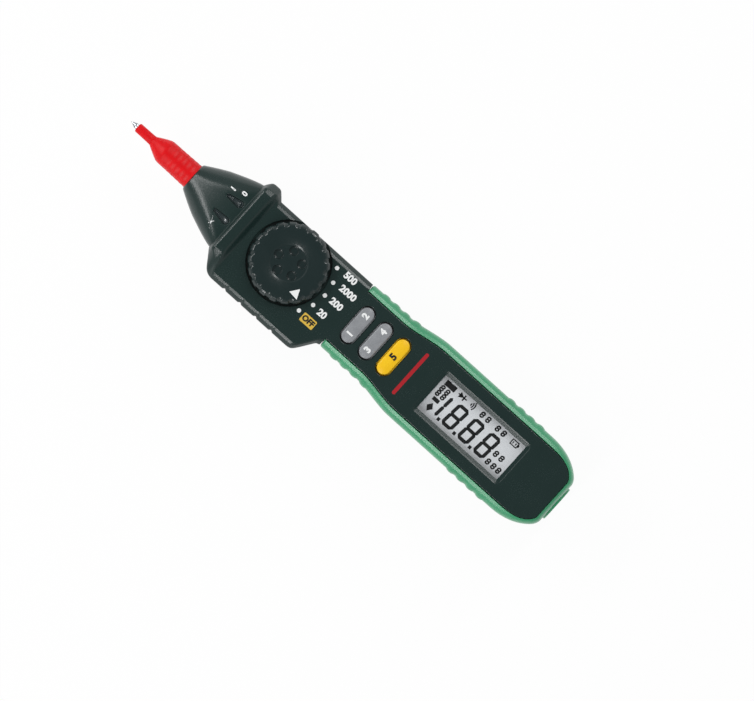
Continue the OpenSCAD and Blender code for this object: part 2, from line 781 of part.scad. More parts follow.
// One level: round the outside from right to left, and back along the inner wall
function grip_ring(level) = let (
        right = [for (y = grip_ys) grip_point(y, level[0], level[2])])
    concat([for (p = right) [p[0], p[1], level[1]]],
    [for (p = reverse(right)) [-p[0], p[1], level[1]]],
    [for (y = grip_ys) [-core_fit(y)[0], core_fit(y)[1], level[1]]],
    [for (y = reverse(grip_ys)) [core_fit(y)[0], core_fit(y)[1], level[1]]]);

module side_grip() {
    color([0.24, 0.67, 0.47])
        difference() {
            union() {
                loft([for (r = grip_rings) grip_ring(r)], true);
                rod(boss_r, [boss_end_y, core_end_y - tail_band / 2], 0, split_z);
            }
            rod(jack_r + seat_fit, [boss_end_y - cut, core_end_y + cut], 0, split_z);
        }
}

module battery_cover() {
    color([0.12, 0.15, 0.16])
        difference() {
            union() {
                slab([-cover_half, cover_half], [cover_back_y, cover_front_y], [0, cover_t]);
                for (s = [-1, 1])
                    translate([s * cover_tab_x, bay_back_y, 0]) {
                        slab([-cover_tab_w / 2, cover_tab_w / 2], [-cover_tab_run, cover_tab_t],
                            [cover_t + seat_fit + tab_fit / 2, cover_t + cover_tab_t]);
                        slab([-cover_tab_w / 2, cover_tab_w / 2], [tab_fit, cover_tab_t],
                            [cover_t - cut / 2, cover_t + cover_tab_t]);
                    }
            }
            peg(cover_screw_r + seat_fit, [-cut, cover_t + cut], [0, cover_screw_y]);
            peg(cover_head_r + seat_fit, [-cut, cover_head_h], [0, cover_screw_y]);
        }
}

// Pan screw driven up from the back, with a cross recess in its head
module screw(head_r, head, shank_r, run) {
    slot_w_share = 0.28;
    slot_l_share = 1.2;
    difference() {
        union() {
            cylinder(r = head_r, h = head);
            cylinder(r = shank_r, h = run);
        }
        for (a = [0, 90])
            rotate([0, 0, a])
                cube([head_r * slot_l_share, head_r * slot_w_share, head], center = true);
    }
}

module battery_cover_screw() {
    color("silver")
        translate([0, cover_screw_y, cover_head_gap])
            screw(cover_head_r, cover_head_h - cover_head_gap, cover_screw_r, cover_screw_len - cover_t);
}

module case_screws() {
    color("silver")
        for (p = case_screws_at)
            translate([p[0], p[1], head_well])
                screw(case_head_d / 2, head_h, case_shank_d / 2, split_z + screw_bite - head_well);
}

module display_window() {
    x = window_w / 2 + lens_margin;
    y = window_len / 2 + lens_margin;
    color([0.8, 0.85, 0.85, 0.4])
        translate([0, window_y, 0])
            slab([-x, x], [-y, y], [lens_z, lens_top_z]);
}

// Sleeve: flange, ringed barrel, rounded shoulder and thin neck
shoulder_pow = 1.7;
shoulder_n = 8;
barrel_front_share = 0.94;
module probe_sleeve() {
    front_r = barrel_r * barrel_front_share;
    hole = needle_r + seat_fit;
    ring_y = [for (k = [0:sleeve_rings - 1]) mouth_y + ring_pitch * (k + 0.7)];
    slope = (barrel_r - front_r) / barrel_run;
    barrel = [for (y = ring_y) let (r = barrel_r - slope * (y - mouth_y))
        each [[r, y - ring_w / 2], [r - ring_depth, y], [r, y + ring_w / 2]]];
    shoulder = [for (k = [0:shoulder_n]) let (u = k / shoulder_n)
        [neck_r + (front_r - neck_r) * taper(u, shoulder_pow), barrel_end_y + shoulder_run * u]];
    tip_edge = needle_r / 2;
    color([0.88, 0.09, 0.13])
        translate([0, 0, split_z])
            rotate([-90, 0, 0])
                rotate_extrude()
                    polygon(concat(
                        [[hole, sleeve_tail_y], [sleeve_tail_r, sleeve_tail_y],
                            [sleeve_tail_r, flange_back_y], [flange_r, flange_back_y],
                            [flange_r, flange_front_y], [barrel_r, flange_front_y],
                            [barrel_r, mouth_y]],
                        barrel, shoulder,
                        [[neck_r, sleeve_end_y - tip_edge], [neck_r - tip_edge, sleeve_end_y],
                            [hole, sleeve_end_y]]));
}

module probe_needle() {
    color([0.85, 0.85, 0.87])
        translate([0, 0, split_z])
            rotate([-90, 0, 0])
                rotate_extrude()
                    polygon([[0, needle_back_y], [needle_r, needle_back_y],
                        [needle_r, tip_y - point_run], [0, tip_y]]);
}

// Clip under the board that grips the needle's inner end
module probe_contact() {
    half = 2.2;
    run = 5;
    jaw = 2.2;
    slot = 0.5;
    color([0.8, 0.65, 0.3])
        difference() {
            slab([-half, half], [needle_back_y - cut / 2, needle_back_y + run],
                [split_z - jaw, board_z]);
            rod(needle_r + seat_fit, [needle_back_y - cut, needle_back_y + run + cut], 0, split_z);
            slab([-slot, slot], [needle_back_y - cut, needle_back_y + run + cut],
                [split_z - jaw - cut, split_z]);
        }
}

// Each lamp window: [x, y, lean]; the left one warns of voltage, the right one has two lamps
lamp_places = [[-lamp_gauge / 2, lamp_y, 1], [lamp_gauge / 2, lamp_y, -1]];
module lamp_prism(p, gap, z) {
    wide = lamp_w / 2;
    narrow = wide * lamp_small_share;
    translate([p[0], p[1], z[0]])
        rotate([0, 0, -p[2] * lamp_splay])
            linear_extrude(z[1] - z[0])
                polygon(drop(wide + gap, narrow + gap, lamp_len - wide - narrow));
}
module lamp_window(p) {
    color([0.75, 0.8, 0.78, 0.7])
        intersection() {
            lamp_prism(p, 0, [board_top_z + lamp_h + lamp_air, face_z]);
            translate([0, 0, -lamp_recess])
                loft([for (y = nose_ys) let (s = nose_section(y, front_depth))
                    ring_at(arch(s), s[0], 1)], false);
        }
}
module voltage_lamp_window() {
    lamp_window(lamp_places[0]);
}
module logic_lamp_windows() {
    lamp_window(lamp_places[1]);
}

// Lamps stand on the board's tongue under their windows
module lamp(x, y) {
    translate([x, y, board_top_z]) {
        cylinder(r = lamp_rim_r, h = lamp_rim_h);
        cylinder(r = lamp_r, h = lamp_h - lamp_r);
        translate([0, 0, lamp_h - lamp_r])
            sphere(r = lamp_r);
    }
}
module voltage_lamp() {
    color([0.9, 0.3, 0.25])
        lamp(lamp_places[0][0], lamp_y + lamp_len * 0.2);
}
module logic_lamps() {
    color([0.3, 0.75, 0.35])
        for (s = [0, 0.56])
            lamp(lamp_places[1][0], lamp_y + lamp_len * s);
}

// Rounded-end cap of a key with a softened upper edge
module key_cap(l, w, z) {
    h = z[1] - z[0];
    edge = [for (k = [0:arc_n]) let (a = 90 * k / arc_n)
        [w / 2 - key_edge * (1 - cos(a)), h - key_edge * (1 - sin(a))]];
    translate([0, 0, z[0]]) {
        translate([(w - l) / 2, 0, 0])
            rotate([90, 0, 90])
                linear_extrude(l - w)
                    polygon(concat([[w / 2, 0]], edge,
                        [for (p = reverse(edge)) [-p[0], p[1]]], [[-w / 2, 0]]));
        for (s = [-1, 1])
            translate([s * (l - w) / 2, 0, 0])
                rotate_extrude()
                    polygon(concat([[0, 0], [w / 2, 0]], edge, [[0, h]]));
    }
}
module rocker_key(y) {
    tilt_drop = stem_x * sin(rocker_tilt);
    color([0.66, 0.65, 0.67])
        translate([0, y, 0]) {
            key_cap(key_len, key_w, [rocker_top - flange_t / 2, face_z + key_proud]);
            translate([0, 0, rocker_top - flange_t])
                linear_extrude(flange_t)
                    stadium(flange_len, flange_w);
            for (s = [-1, 1])
                peg(key_stem_r, [dome_top_z + tilt_drop + key_air, rocker_top - flange_t / 2],
                    [s * stem_x, 0]);
            rod(pivot_r, [-flange_w / 2 - pivot_bite, flange_w / 2 + pivot_bite], 0, pivot_z);
        }
}
module upper_rocker_key() {
    rocker_key(key_y[0]);
}
module lower_rocker_key() {
    rocker_key(key_y[1]);
}
module sense_key() {
    top = under_z - key_air;
    color([0.98, 0.76, 0.12])
        translate([0, key_y[2], 0]) {
            key_cap(key_len, key_w, [top - flange_t / 2, face_z + key_proud]);
            translate([0, 0, top - flange_t])
                linear_extrude(flange_t)
                    stadium(flange_len, flange_w);
            peg(key_stem_r, [dome_top_z + key_travel + key_air, top - flange_t / 2], [0, 0]);
        }
}

// Rubber mat with a dome under each stem
module key_mat() {
    half = dome_r + stem_x + cut;
    margin = flange_w / 2;
    color([0.35, 0.36, 0.38]) {
        slab([-half, half], [key_y[2] - margin, key_y[0] + margin], [board_top_z, board_top_z + mat_t]);
        for (s = [-1, 1], y = [key_y[0], key_y[1]])
            peg(dome_r, [board_top_z + mat_t / 2, dome_top_z], [s * stem_x, y]);
        peg(dome_r, [board_top_z + mat_t / 2, dome_top_z], [0, key_y[2]]);
    }
}

// Dial: bevelled rim with finger scallops, a sunk centre and a pointer recess
rest_angle = -90 - detent_step * (positions - 1) / 2;
knob_bevel = 1.5;
skirt_bevel = 0.4;
scallop_r = 2.2;
scallop_depth = 0.55;
hub_r = 7;
hub_depth = 0.6;
pip_r = 0.9;
pip_ring = 3.6;
pips = 5;
pointer_at = 11.3;
pointer_side = 4;
pointer_depth = 0.25;
module dial_knob() {
    top = knob_z + knob_h;
    color([0.14, 0.18, 0.19])
        difference() {
            union() {
                difference() {
                    rotate_extrude()
                        polygon([[0, knob_z], [knob_r - skirt_bevel, knob_z], [knob_r, knob_z + skirt_bevel],
                            [knob_r, top - knob_bevel * 1.3],
                            [knob_r - knob_bevel * 0.35, top - knob_bevel * 0.5],
                            [knob_r - knob_bevel, top], [hub_r, top], [hub_r - hub_depth, top - hub_depth],
                            [0, top - hub_depth]]);
                    for (k = [0:scallops - 1])
                        rotate([0, 0, (k + 0.5) * 360 / scallops])
                            peg(scallop_r, [knob_z - cut, top + cut],
                                [knob_r - scallop_depth + scallop_r, 0]);
                }
                for (k = [0:pips - 1])
                    rotate([0, 0, 90 + k * 360 / pips])
                        peg(pip_r, [top - hub_depth * 1.5, top - hub_depth / 2], [pip_ring, 0]);
                stem();
            }
            rotate([0, 0, rest_angle])
                translate([pointer_at, 0, top - pointer_depth])
                    linear_extrude(cut)
                        circle(r = pointer_side / sqrt(3), $fn = 3);
            peg(dial_shank_r + seat_fit, [rotor_z - cut, rotor_z + dial_shank_run], [0, 0]);
        }
}
// Stem with a flat that keys it to the rotor
module stem() {
    difference() {
        peg(stem_r, [rotor_z, knob_z + cut], [0, 0]);
        slab([stem_r * flat_share, stem_r + cut], [-stem_r, stem_r], [rotor_z - cut, rotor_top_z]);
    }
}

module dial_rotor() {
    color([0.85, 0.83, 0.78])
        difference() {
            peg(rotor_r, [rotor_z, rotor_top_z], [0, 0]);
            difference() {
                peg(stem_r + seat_fit, [rotor_z - cut, rotor_top_z + cut], [0, 0]);
                slab([stem_r * flat_share + seat_fit, stem_r + cut], [-stem_r, stem_r],
                    [rotor_z - 2 * cut, rotor_top_z + 2 * cut]);
            }
            for (a = ball_angles)
                rotate([0, 0, a])
                    peg(ball_r + pocket_fit, [rotor_z + pocket_floor, rotor_top_z + cut], [ball_ring, 0]);
        }
}

module dial_screw() {
    color("silver")
        translate([0, 0, rotor_z - dial_head_h])
            screw(dial_head_r, dial_head_h, dial_shank_r, dial_head_h + dial_shank_run - cut);
}

module detent_balls() {
    color("silver")
        for (a = ball_angles)
            rotate([0, 0, a])
                translate([ball_ring, 0, ball_z])
                    sphere(r = ball_r);
}

// Coil spring along Z as one six-sided tube
module coil(r, wire, l, turns) {
    steps = 8;
    sides = 6;
    loft([for (i = [0:steps * turns])
        let (a = 360 * i / steps, z = wire + (l - 2 * wire) * i / (steps * turns))
        [for (k = [0:sides - 1]) let (b = 360 * k / sides, q = r + wire * cos(b))
            [q * cos(a), q * sin(a), z + wire * sin(b)]]], true);
}

module detent_springs() {
    wire = 0.14;
    bottom = rotor_z + pocket_floor;
    color("silver")
        for (a = ball_angles)
            rotate([0, 0, a])
                translate([ball_ring, 0, bottom])
                    coil(ball_r - 2.5 * wire, wire, ball_z - ball_r - bottom, 3);
}

// Sprung fingers under the rotor that wipe the board's tracks
module wiper_contacts() {
    leaf_w = 1.6;
    leaf_t = 0.3;
    set_in = 1;
    in_r = dial_head_r + 2 * set_in;
    out_r = rotor_r - set_in;
    tip_r = 0.45;
    lift = 0.06;
    color([0.85, 0.68, 0.32])
        for (k = [0:2])
            rotate([0, 0, 30 + 120 * k]) {
                slab([in_r, out_r], [-leaf_w / 2, leaf_w / 2], [rotor_z - leaf_t, rotor_z]);
                for (x = [in_r + tip_r, out_r - tip_r])
                    peg(tip_r, [board_top_z + lift, rotor_z - leaf_t / 2], [x, 0]);
            }
}

module main_board() {
    hole_gap = 0.4;
    low_y = shoulder_y + board_gap;
    right = [[tongue_w / 2, tongue_y], [tongue_w / 2, shelf_y], [shelf_w / 2, shelf_y],
        [shelf_w / 2, board_front_y], [board_right, board_front_y], [board_right, low_y],
        [board_neck, low_y], [board_neck, flare_y], [board_main, flare_end_y],
        [board_main, board_end_y]];
    color([0.1, 0.38, 0.22])
        difference() {
            translate([0, 0, board_z])
                linear_extrude(board_t)
                    polygon(concat(
                        right,
                        [for (p = reverse(right)) if (p[1] < board_front_y) [-p[0], p[1]]],
                        [[-board_right, board_low_y], [-board_left, board_low_y],
                            [-board_left, board_front_y]],
                        [for (p = reverse(right)) if (p[0] <= shelf_w / 2 && p[1] >= board_front_y)
                            [-p[0], p[1]]]));
            peg(hub_hole_r, [board_z - cut, board_top_z + cut], [0, 0]);
            for (p = case_screws_at)
                peg(rear_boss_r + hole_gap, [board_z - cut, board_top_z + cut], p);
            for (p = board_screws_at)
                peg(board_shank_r + seat_fit, [board_z - cut, board_top_z + cut], p);
        }
}

module board_screws() {
    color("silver")
        for (p = board_screws_at)
            translate([p[0], p[1], board_z - board_head_h])
                screw(board_head_r, board_head_h, board_shank_r,
                    board_head_h + board_t + board_screw_run - cut);
}

module display_panel() {
    color([0.84, 0.86, 0.87])
        slab([-glass_half, glass_half], [window_y - glass_run, window_y + glass_run],
            [glass_z, glass_top_z]);
}

module display_frame() {
    x = glass_half + frame_fit;
    y = glass_run + frame_fit;
    color([0.2, 0.2, 0.22])
        translate([0, window_y, 0])
            difference() {
                slab([-x - frame_wall, x + frame_wall], [-y - frame_wall, y + frame_wall],
                    [board_top_z, glass_top_z + glass_gap / 2]);
                slab([-x, x], [-y, y], [board_top_z - cut, glass_top_z + cut]);
            }
}

module zebra_strips() {
    strip_w = 1.4;
    inset = 0.3;
    color([0.85, 0.55, 0.6])
        for (s = [-1, 1])
            translate([s * (glass_half - inset - strip_w / 2), window_y, 0])
                slab([-strip_w / 2, strip_w / 2], [-window_len / 2, window_len / 2], [board_top_z, glass_z]);
}

module measuring_chip() {
    side = 10;
    height = 1.6;
    stand = 0.1;
    leg = 0.4;
    leg_run = 1;
    legs = 11;
    color([0.1, 0.1, 0.1])
        translate([0, window_y, board_top_z]) {
            slab([-side / 2, side / 2], [-side / 2, side / 2], [stand, height]);
            for (a = [0:90:270], k = [0:legs - 1])
                rotate([0, 0, a])
                    translate([side / 2, side * ((k + 0.5) / legs - 0.5), 0])
                        slab([-leg, leg_run], [-leg / 2, leg / 2], [0, height / 2]);
        }
}

// Small parts under the board: place shares of the deck, all of one chip size
part_w = 2;
parts_share = [[-0.75, 0.72], [-0.45, 0.72], [-0.1, 0.8], [0.3, 0.9], [-0.62, 0.4], [-0.62, 0.1],
    [-0.62, -0.2], [0.62, 0.3], [0.62, 0], [-0.3, -0.55], [-0.5, -0.85], [-0.1, -1.1]];
cap_r = 2.6;
cap_h = 6;
trimmer_w = 5;
trimmer_h = 3.5;
module board_parts() {
    color([0.45, 0.42, 0.38]) {
        for (s = parts_share)
            translate([s[0] * deck_half, s[1] * collar_back_y, board_z])
                slab([-part_w / 2, part_w / 2], [-part_w / 3, part_w / 3], [-part_w / 3, 0]);
        peg(cap_r, [board_z - cap_h, board_z], [deck_half * 0.55, collar_back_y * 0.58]);
        translate([-deck_half * 0.3, collar_back_y * 0.45, board_z])
            slab([-trimmer_w / 2, trimmer_w / 2], [-trimmer_w / 2, trimmer_w / 2], [-trimmer_h, 0]);
    }
}

module sensing_plate() {
    half = 4.5;
    plate = 0.4;
    rise = 5;
    color([0.8, 0.5, 0.3])
        slab([-half, half], [tongue_y, tongue_y + plate], [board_z, board_z + rise]);
}

module buzzer() {
    at = [5, deck_back_y / 2];
    r = 5.5;
    height = 4.5;
    sound_r = 1;
    color([0.12, 0.12, 0.13])
        difference() {
            peg(r, [board_z - height, board_z], at);
            peg(sound_r, [board_z - height - cut, board_z - height + cut], at);
        }
}

// Glass fuse in two clips, below the board in the bulge
fuse_r = 2.6;
fuse_len = 20;
fuse_cap = 5;
fuse_in = 6;
fuse_gap = 0.6;
fuse_x = fuse_in - bulge_reach;
fuse_z = board_z - fuse_r - fuse_gap;
fuse_mid = (fuse_len - fuse_cap) / 2;
module fuse() {
    glass_r = fuse_r * 0.9;
    color([0.8, 0.82, 0.85]) {
        rod(glass_r, [-fuse_mid, fuse_mid], fuse_x, fuse_z);
        for (s = [-1, 1])
            rod(fuse_r, [s * fuse_mid - fuse_cap / 2, s * fuse_mid + fuse_cap / 2], fuse_x, fuse_z);
    }
}
module fuse_clips() {
    clip_w = 3;
    jaw = 0.5;
    mouth = 1.6;
    color([0.8, 0.8, 0.75])
        for (s = [-1, 1])
            difference() {
                slab([fuse_x - fuse_r - jaw, fuse_x + fuse_r + jaw],
                    [s * fuse_mid - clip_w / 2, s * fuse_mid + clip_w / 2],
                    [fuse_z - fuse_r * 0.8, board_z]);
                rod(fuse_r + seat_fit / 2, [-fuse_len, fuse_len], fuse_x, fuse_z);
                slab([fuse_x - mouth, fuse_x + mouth], [-fuse_len, fuse_len],
                    [fuse_z - fuse_r - cut, fuse_z]);
            }
}

// Cells lie head to tail; each has its nub at its positive end
nub_r = 1.9;
nub_h = 0.8;
plate_front_y = bay_front_y - plate_t;
plate_back_y = bay_back_y + plate_t;
module cell(x, y, dir) {
    can_y = y + dir * (cell_len - nub_h);
    nub_y = y + dir * cell_len;
    rod(cell_r, [min(y, can_y), max(y, can_y)], x, cell_z);
    rod(nub_r, [min(y, nub_y), max(y, nub_y)], x, cell_z);
}
module battery_cells() {
    color([0.2, 0.35, 0.6]) {
        cell(-cell_x, plate_back_y + spring_len, 1);
        cell(cell_x, plate_front_y - spring_len, -1);
    }
}
module cell_springs() {
    wire = 0.35;
    color("silver") {
        translate([-cell_x, plate_back_y + spring_len, cell_z])
            rotate([90, 0, 0])
                coil(cell_r * 0.6, wire, spring_len, 4);
        translate([cell_x, plate_front_y, cell_z])
            rotate([90, 0, 0])
                coil(cell_r * 0.6, wire, spring_len, 4);
    }
}
module cell_plates() {
    plate = cell_r * 0.8;
    color([0.82, 0.82, 0.84]) {
        for (s = [-1, 1]) {
            slab([s * cell_x - plate, s * cell_x + plate], [plate_front_y, bay_front_y],
                [cell_z - plate, cell_z + plate]);
            slab([s * cell_x - lug_w / 2, s * cell_x + lug_w / 2], [plate_front_y, bay_front_y],
                [cell_z + plate / 2, board_z]);
        }
        slab([-cell_x - plate, cell_x + plate], [bay_back_y, plate_back_y],
            [cell_z - plate, cell_z + plate]);
    }
}

module jack_body() {
    color([0.08, 0.08, 0.09])
        difference() {
            rod(jack_r, [boss_end_y, jack_front_y], 0, split_z);
            difference() {
                rod(shroud_out_r, [boss_end_y - cut, boss_end_y + shroud_depth], 0, split_z);
                rod(shroud_in_r, [boss_end_y - 2 * cut, boss_end_y + shroud_depth + cut], 0, split_z);
            }
            rod(contact_r + seat_fit, [boss_end_y + contact_set_back, jack_front_y + cut], 0, split_z);
            rod(jack_bore_r + seat_fit * 2, [boss_end_y - cut, jack_front_y], 0, split_z);
        }
}
module com_contact() {
    y = boss_end_y + contact_set_back;
    color([0.85, 0.7, 0.35])
        difference() {
            union() {
                rod(contact_r, [y, y + contact_len], 0, split_z);
                rod(pin_r, [y + contact_len - cut, y + contact_len + pin_run], 0, split_z);
            }
            rod(jack_bore_r, [y - cut, y + contact_len - contact_end], 0, split_z);
        }
}
module com_strap() {
    y = jack_front_y + pin_run / 2;
    color([0.85, 0.7, 0.35])
        difference() {
            slab([-strap_w / 2, strap_w / 2], [y - strap_t / 2, y + strap_t / 2],
                [split_z - pin_r - cut, board_z]);
            rod(pin_r + seat_fit, [jack_front_y, jack_front_y + 2 * pin_run], 0, split_z);
        }
}

front_case();
rear_case();
side_grip();
battery_cover();
battery_cover_screw();
case_screws();
display_window();
probe_sleeve();
probe_needle();
probe_contact();
voltage_lamp_window();
logic_lamp_windows();
upper_rocker_key();
lower_rocker_key();
sense_key();
key_mat();
dial_knob();
dial_rotor();
dial_screw();
detent_balls();
detent_springs();
wiper_contacts();
main_board();
board_screws();
display_panel();
display_frame();
zebra_strips();
measuring_chip();
board_parts();
voltage_lamp();
logic_lamps();
sensing_plate();
buzzer();
fuse();
fuse_clips();
battery_cells();
cell_springs();
cell_plates();
jack_body();
com_contact();
com_strap();
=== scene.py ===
from math import asin, atan2, copysign, cos, hypot, pi, radians, sin, sqrt, tan
import bmesh
import bpy
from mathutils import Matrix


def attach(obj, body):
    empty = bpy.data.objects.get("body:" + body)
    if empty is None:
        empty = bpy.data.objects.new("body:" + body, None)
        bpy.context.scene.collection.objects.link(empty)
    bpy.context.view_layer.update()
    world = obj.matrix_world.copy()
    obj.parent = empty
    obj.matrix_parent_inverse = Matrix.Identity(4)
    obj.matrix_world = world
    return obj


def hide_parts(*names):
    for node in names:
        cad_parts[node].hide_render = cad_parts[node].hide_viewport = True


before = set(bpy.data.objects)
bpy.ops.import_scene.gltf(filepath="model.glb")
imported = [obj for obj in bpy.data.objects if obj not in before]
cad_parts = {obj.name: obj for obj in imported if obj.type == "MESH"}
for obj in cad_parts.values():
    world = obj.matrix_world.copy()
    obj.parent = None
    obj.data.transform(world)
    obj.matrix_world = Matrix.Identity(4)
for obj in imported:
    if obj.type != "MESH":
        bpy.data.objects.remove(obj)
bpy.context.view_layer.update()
bpy.context.scene.view_settings.view_transform = "Standard"

# The meter lies face up, and the camera looks straight down on it, with the probe
# towards the upper left. Everything below is in millimetres, and mm turns it into metres.
mm = 0.001
picture_width = 274.0
picture_middle = (-2.2, -45.0, 13.0)
picture_turn = -48.02
lens = 1000.0
sensor = 36.0


def add(name, data):
    """New object in the scene."""
    made = bpy.data.objects.new(name, data)
    bpy.context.scene.collection.objects.link(made)
    return made


camera = add("camera", bpy.data.cameras.new("camera"))
camera.data.lens = lens
camera.data.sensor_width = sensor
camera.location = [v * mm for v in picture_middle]
camera.location.z += picture_width * mm * lens / sensor
camera.rotation_euler = (0, 0, radians(picture_turn))
bpy.context.scene.camera = camera


# White studio: a pale floor and a white world for the eye and for reflections. Towards
# the zenith, where the camera hangs, the light falls off, so flat faces stay deep and edges shine.
class Term:
    """A socket of a node tree, with the arithmetic that the finishes use."""

    def __init__(self, nodes, socket):
        self.nodes = nodes
        self.socket = socket

    def math(self, operation, first, second):
        return self.nodes.node("ShaderNodeMath", {"operation": operation}, {0: first, 1: second})

    def __add__(self, other):
        return self.math("ADD", self, other)

    def __sub__(self, other):
        return self.math("SUBTRACT", self, other)

    def __rsub__(self, other):
        return self.math("SUBTRACT", other, self)

    def __mul__(self, other):
        return self.math("MULTIPLY", self, other)

    __radd__ = __add__
    __rmul__ = __mul__


class Nodes:
    """A node tree under construction: node() adds any node and gives one of its outputs."""

    def __init__(self, tree):
        self.tree = tree

    def node(self, kind, settings, values, out=0):
        made = self.tree.nodes.new(kind)
        for name, value in settings.items():
            setattr(made, name, value)
        for name, value in values.items():
            if isinstance(value, Term):
                self.tree.links.new(value.socket, made.inputs[name])
            else:
                made.inputs[name].default_value = value
        return Term(self, made.outputs[out])

    def tint(self, mask, low, high):
        """Colour that runs from low to high as the mask does."""
        return self.node("ShaderNodeMix", {"data_type": "RGBA"}, {0: mask, 6: low, 7: high}, 2)


def start(name, fixed):
    """New material with its fixed numbers on the shader's own sockets."""
    material = bpy.data.materials.new(name)
    material.use_nodes = True
    shader = material.node_tree.nodes["Principled BSDF"]
    for socket, value in fixed.items():
        shader.inputs[socket].default_value = value
    return material, Nodes(material.node_tree)


def srgb(red, green, blue):
    """Colour as a shader takes it, from the 0 to 255 values of a picture."""
    def linear(v):
        v = v / 255
        return v / 12.92 if v <= 0.04045 else ((v + 0.055) / 1.055) ** 2.4
    return (linear(red), linear(green), linear(blue), 1.0)


sky_stops = [(0.5, 0.52), (0.92, 0.14)]
floor_size = 4.0
floor_colour = srgb(247, 247, 247)
floor_glow_share = 0.95
world = bpy.data.worlds.new("studio")
bpy.context.scene.world = world
world.use_nodes = True
sky = Nodes(world.node_tree)
sky_shader = world.node_tree.nodes["Background"]
sky_shader.inputs["Color"].default_value = (1, 1, 1, 1)
seen = sky.node("ShaderNodeLightPath", {}, {}, "Is Camera Ray")
direction = sky.node("ShaderNodeTexCoord", {}, {}, "Generated")
height = sky.node("ShaderNodeSeparateXYZ", {}, {0: direction}, "Z")
dome = sky.node("ShaderNodeValToRGB", {}, {0: height})
for stop, (level, shade) in zip(dome.socket.node.color_ramp.elements, sky_stops):
    stop.position = level
    stop.color = (shade, shade, shade, 1)
strength = dome * (1 - seen) + seen
world.node_tree.links.new(strength.socket, sky_shader.inputs["Strength"])

floor = add("floor", bpy.data.meshes.new("floor"))
half = floor_size / 2
square = [(-half, -half, 0), (half, -half, 0), (half, half, 0), (-half, half, 0)]
floor.data.from_pydata(square, [], [(0, 1, 2, 3)])
paper, sheet = start("floor", {"Base Color": floor_colour, "Roughness": 0.9, "Specular IOR Level": 0.0})
to_eye, to_gloss, to_glass = [sheet.node("ShaderNodeLightPath", {}, {}, f"Is {ray} Ray")
                              for ray in ("Camera", "Glossy", "Transmission")]
matt = Term(sheet, paper.node_tree.nodes["Principled BSDF"].outputs[0])
glow = sheet.node("ShaderNodeEmission", {}, {"Strength": 1.0})
ground = sheet.node("ShaderNodeMixShader", {},
                    {0: to_eye * floor_glow_share + to_gloss + to_glass, 1: matt, 2: glow})
paper.node_tree.links.new(ground.socket, paper.node_tree.nodes["Material Output"].inputs["Surface"])
floor.data.materials.append(paper)


def lamp(name, at, towards, size, power):
    """Soft box at a place, turned towards another; both in metres."""
    light = bpy.data.lights.new(name, "AREA")
    light.shape = "RECTANGLE"
    light.size, light.size_y = size
    light.energy = power
    holder = add(name, light)
    holder.location = at
    gap = [b - a for a, b in zip(at, towards)]
    across = hypot(gap[0], gap[1])
    holder.rotation_euler = (atan2(across, -gap[2]), 0, atan2(gap[1], gap[0]) - pi / 2)


middle = (0, -0.03, 0.02)
strip_height = 0.62
lamp("left_strip", (-0.7, -0.05, strip_height), middle, (0.1, 1.0), 3.5)
lamp("right_strip", (0.7, -0.05, strip_height), middle, (0.1, 1.0), 3.1)
lamp("probe_strip", (-0.1, 0.72, strip_height), middle, (0.8, 0.1), 3.1)


# Front case: a dark moulded shell in one piece. A round mouth grows into the nose, a finger collar
# stands across it, the deck bulges to the left for the thumb, and a narrow face runs down the handle
# between the rubber. It is cut for the dial, the keys, the window and the lamps.
split_z = 13.0
face_z = 25.0
rear_depth = split_z
front_depth = face_z - split_z
wall = 1.6
face_wall = 1.8
parting = 0.14

collar_front_y = 25.5
collar_rise = 2.0
collar_reach = 17.9
crest_half = 13.4
end_fall = 4.6

nose_len = 21.5
mouth_y = collar_front_y + nose_len
mouth_r = 5.6
mouth_round = 0.93
nose_half = 14.9
nose_corner = 5.0
nose_swell = 1.4
nose_slim = 0.25
slim_start = 0.42
barrel_r = 4.9
clamp_len = 6.5

deck_half = 14.6
bulge_reach = 23.0
deck_start_y = 16.6
deck_back_y = -28.0
deck_bevel = (2.4, 2.0)
ledge_share = 0.37
ledge_slope = 0.46
top_columns = 7
back_edge = 3.0
notch_depth = 0.55
notch_pitch = 7.5
notch_half = 0.95
notch_shift = 0.2

grip_y = -28.3
grip_len = 102.3
neck_half = 14.9
main_half = 17.2
band = 3.5
flare_y = deck_back_y - 17.2
flare_len = 18.8
tail_end_y = deck_back_y - grip_len
tail_len = 15.3
tail_y = tail_end_y + tail_len
core_end_y = tail_end_y + 2.0
core_edge = 0.15
core_tail = (0.911, 3)
jack_r = 5.6


def smooth(u):
    """Soft step from 0 to 1."""
    u = min(max(u, 0.0), 1.0)
    return u * u * (3 - 2 * u)


def spread(first, last, count):
    """Evenly spaced places, both ends included."""
    return [first + (last - first) * k / count for k in range(count + 1)]


def quarter(steps):
    """Angles of a quarter turn, both ends included."""
    return [radians(90 * k / steps) for k in range(steps + 1)]


def through(stops, at):
    """Height at a place on the smooth curve through some stops, with no overshoot between them."""
    places, heights = zip(*stops)
    if at <= places[0]:
        return heights[0]
    if at >= places[-1]:
        return heights[-1]
    rises = [(b - a) / (q - p) for p, q, a, b in zip(places, places[1:], heights, heights[1:])]
    slopes = [0.0] + [2 * a * b / (a + b) if a * b > 0 else 0.0 for a, b in zip(rises, rises[1:])] + [0.0]
    k = max(i for i, p in enumerate(places) if p <= at)
    run = places[k + 1] - places[k]
    u = (at - places[k]) / run
    return (heights[k] * (1 + 2 * u) * (1 - u) ** 2 + heights[k + 1] * u * u * (3 - 2 * u)
            + run * (slopes[k] * u * (1 - u) ** 2 - slopes[k + 1] * u * u * (1 - u)))


def taper(t, power):
    """Superellipse: how wide it still is at the share t of its length."""
    return (1 - min(t, 1.0) ** power) ** (1 / power)


